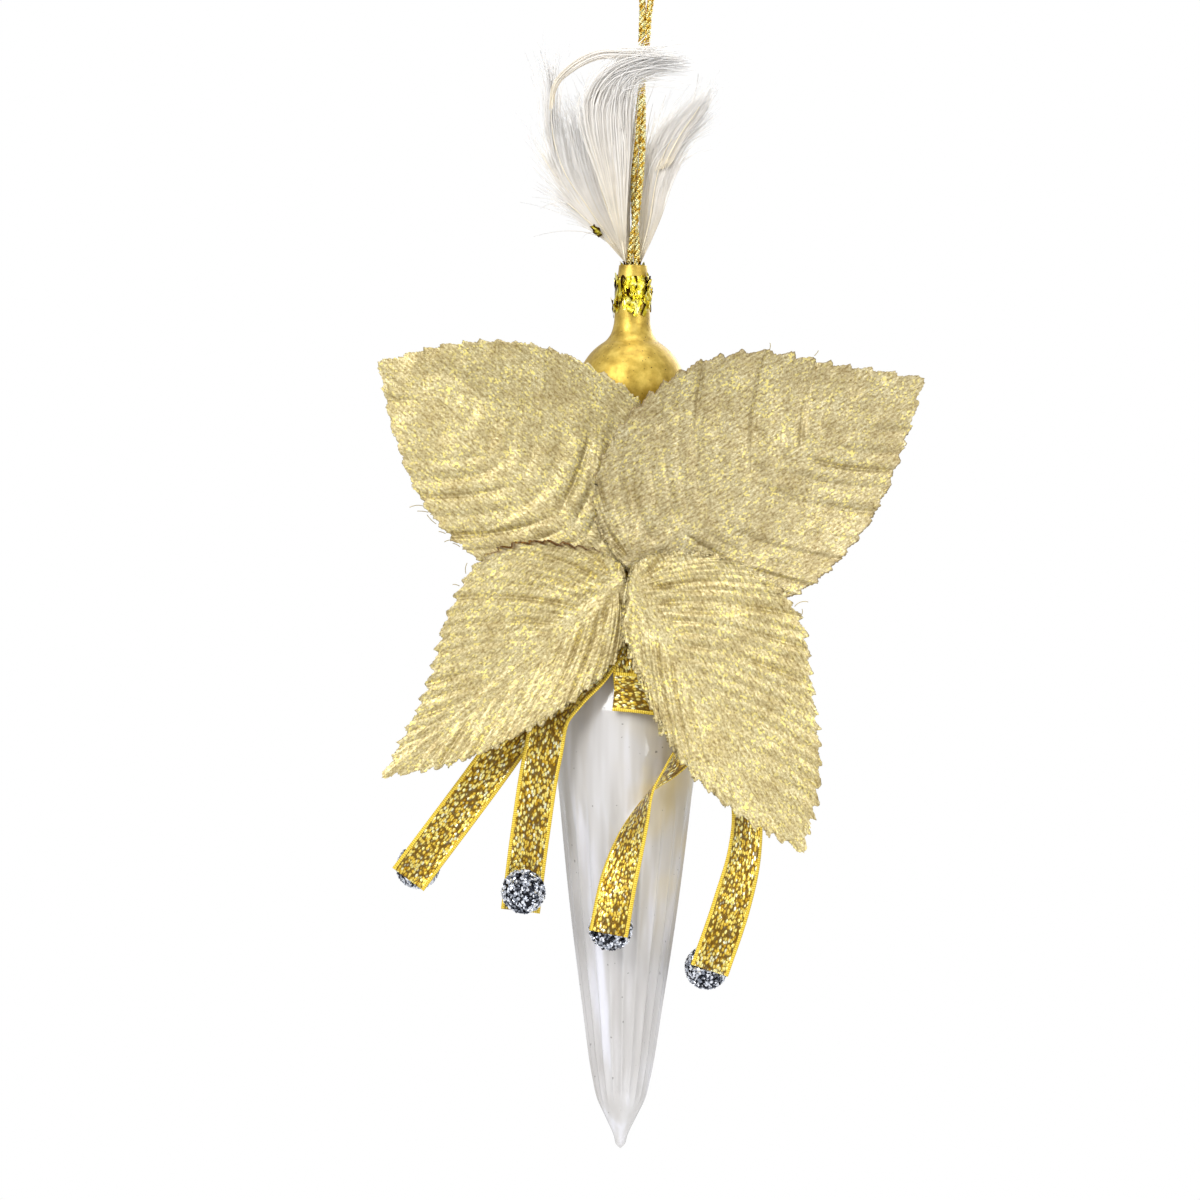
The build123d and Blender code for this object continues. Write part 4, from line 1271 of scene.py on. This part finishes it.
def wound_strip(loop, seed):
    """A strip that runs level round a closed or open loop of points, its width upright."""
    rows = int(path_length(np.asarray(loop, float))[-1] / RIBBON_STEP)
    centre = smooth_line(loop, rows)
    along = unit(np.gradient(centre, axis=0))
    width = np.tile((0.0, 0.0, 1.0), (rows, 1))
    return strip(centre, width, unit(np.cross(width, along)), seed)


def ribbon_piece(name, strips, dark_at=None):
    """One mesh of ribbon strips. Its tone is dark round the point dark_at, where a bead shows through."""
    pile = Pile()
    for points, faces, _ in strips:
        tones = 0.0
        if dark_at is not None:
            tones = np.clip(DARK_REACH - np.linalg.norm(points - np.array(dark_at), axis=1), 0, 1)
        pile.add(rim_point(points), faces, tones)
    return pile.make(name, MATERIALS["gold_ribbon"], uv=np.concatenate([uv for _, _, uv in strips]))


def make_bow():
    """The turn round the waist, the crossed turns of the knot, and the small fold that hangs below it."""
    angle = np.linspace(-0.2, 2 * math.pi + 0.2, 60)
    ring = [(4.5 * math.sin(a), -4.5 * math.cos(a), -47.3) for a in angle]
    half_level = [(3.2, -5.2), (3.3, -7.8), (2.3, -8.6)]
    level = [(-0.4 + x, y) for x, y in half_level] + [(-0.4 - x, y) for x, y in half_level[::-1]]
    turns = [wound_strip([(x * k, y + lift, z) for x, y in level], seed)
             for z, k, lift, seed in ((-50.4, 0.92, 0.12, 6), (-53.2, 1.0, 0.0, 7))]
    over = [(-0.4, -5, -47, 0), (-0.6, -8.2, -47.6, 0), (-0.2, -8.95, -50, 0), (0.2, -8.95, -54.6, 0),
            (0.4, -8, -56.8, 0), (0.4, -5.6, -57.2, 0)]
    down = [(0.8, -10.3, -57.4, 0), (0.7, -12.3, -66.4, 0), (1.4, -12.7, -74.6, 0)]
    level_fold = [(-2.2, -13, -72.2, 0), (1.2, -13.35, -72.45, 0), (5.4, -13.1, -72.9, 0)]
    parts = {
        "turn": ("wrap", [wound_strip(ring, 5)]),
        "crossing": ("knot", [*turns, turned_strip(over, 8)]),
        "doubled": ("fold", [turned_strip(down, 9), turned_strip(level_fold, 10)]),
    }
    for name, (node, strips) in parts.items():
        place(ribbon_piece(f"ribbon_{name}", strips), "ornament", "gold_ribbon", f"ribbon_{node}")


def make_tails():
    for number, (top, tail) in RIBBONS.items():
        dark_at = BEADS[number] if number != BEAD_IN_FRONT else None
        piece = ribbon_piece(f"ribbon_{number}", [turned_strip(top + tail, number)], dark_at)
        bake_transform(piece)
        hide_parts(f"ribbon_top_{number}", f"ribbon_tail_{number}")


make_bow()
make_tails()


# ---------------------------------------------------------------- beads
CORE_R = BEAD_R - 0.28
CORE_ROWS, CORE_COLUMNS = 26, 40
FACETS = 900
FACET_SIDES = 6
GOLDEN_ANGLE = math.pi * (3 - math.sqrt(5))
FACET_TONES, FACET_SHARES = [0.95, 0.72, 0.45, 0.12], [0.44, 0.24, 0.14, 0.18]


def make_bead(number, centre):
    """A dark ball set all over with facets of grit."""
    rng = np.random.default_rng(40 + number)
    pile = Pile()
    polar = np.linspace(0, math.pi, CORE_ROWS)[:, None]
    angle = np.linspace(0, 2 * math.pi, CORE_COLUMNS, endpoint=False)[None, :]
    core = (np.sin(polar) * np.cos(angle), np.sin(polar) * np.sin(angle), np.cos(polar))
    core = np.stack(np.broadcast_arrays(*core), -1).reshape(-1, 3)
    centre = np.array(centre)
    pile.add(rim_point(centre + core * CORE_R), grid_faces(CORE_ROWS, CORE_COLUMNS, closed=True), 0.05)
    spin = np.linspace(0, 2 * math.pi, FACET_SIDES + 1)[:-1]
    faces = [tuple(range(FACET_SIDES)), tuple(range(FACET_SIDES, 2 * FACET_SIDES))[::-1]]
    for i in range(FACET_SIDES):
        j = (i + 1) % FACET_SIDES
        faces.append((i, i + FACET_SIDES, j + FACET_SIDES, j))
    for k in range(FACETS):
        z = 1 - 2 * (k + 0.5) / FACETS
        a = k * GOLDEN_ANGLE + 0.2 * rng.normal()
        out = np.array((math.sqrt(1 - z * z) * math.cos(a), math.sqrt(1 - z * z) * math.sin(a), z))
        tilt = unit(out + 0.55 * rng.normal(size=3))
        side = unit(np.cross(tilt, rng.normal(size=3)))
        other = np.cross(tilt, side)
        size = rng.uniform(0.2, 0.36)
        ring = [size * (math.cos(t) * side + math.sin(t) * other) * rng.uniform(0.8, 1.15) for t in spin]
        middle = centre + out * (BEAD_R - 0.22 + 0.12 * rng.random())
        points = np.array([middle + r + 0.1 * tilt for r in ring] + [middle + r - 0.12 * tilt for r in ring])
        pile.add(rim_point(points), faces, rng.choice(FACET_TONES, p=FACET_SHARES))
    piece = pile.make(f"bead_{number}_glitter", MATERIALS["glitter_bead"], smooth=False)
    weld(piece, 1e-7)
    place(piece, f"tail_{number}", "glitter_bead", f"bead_{number}")


for number, centre in BEADS.items():
    make_bead(number, centre)
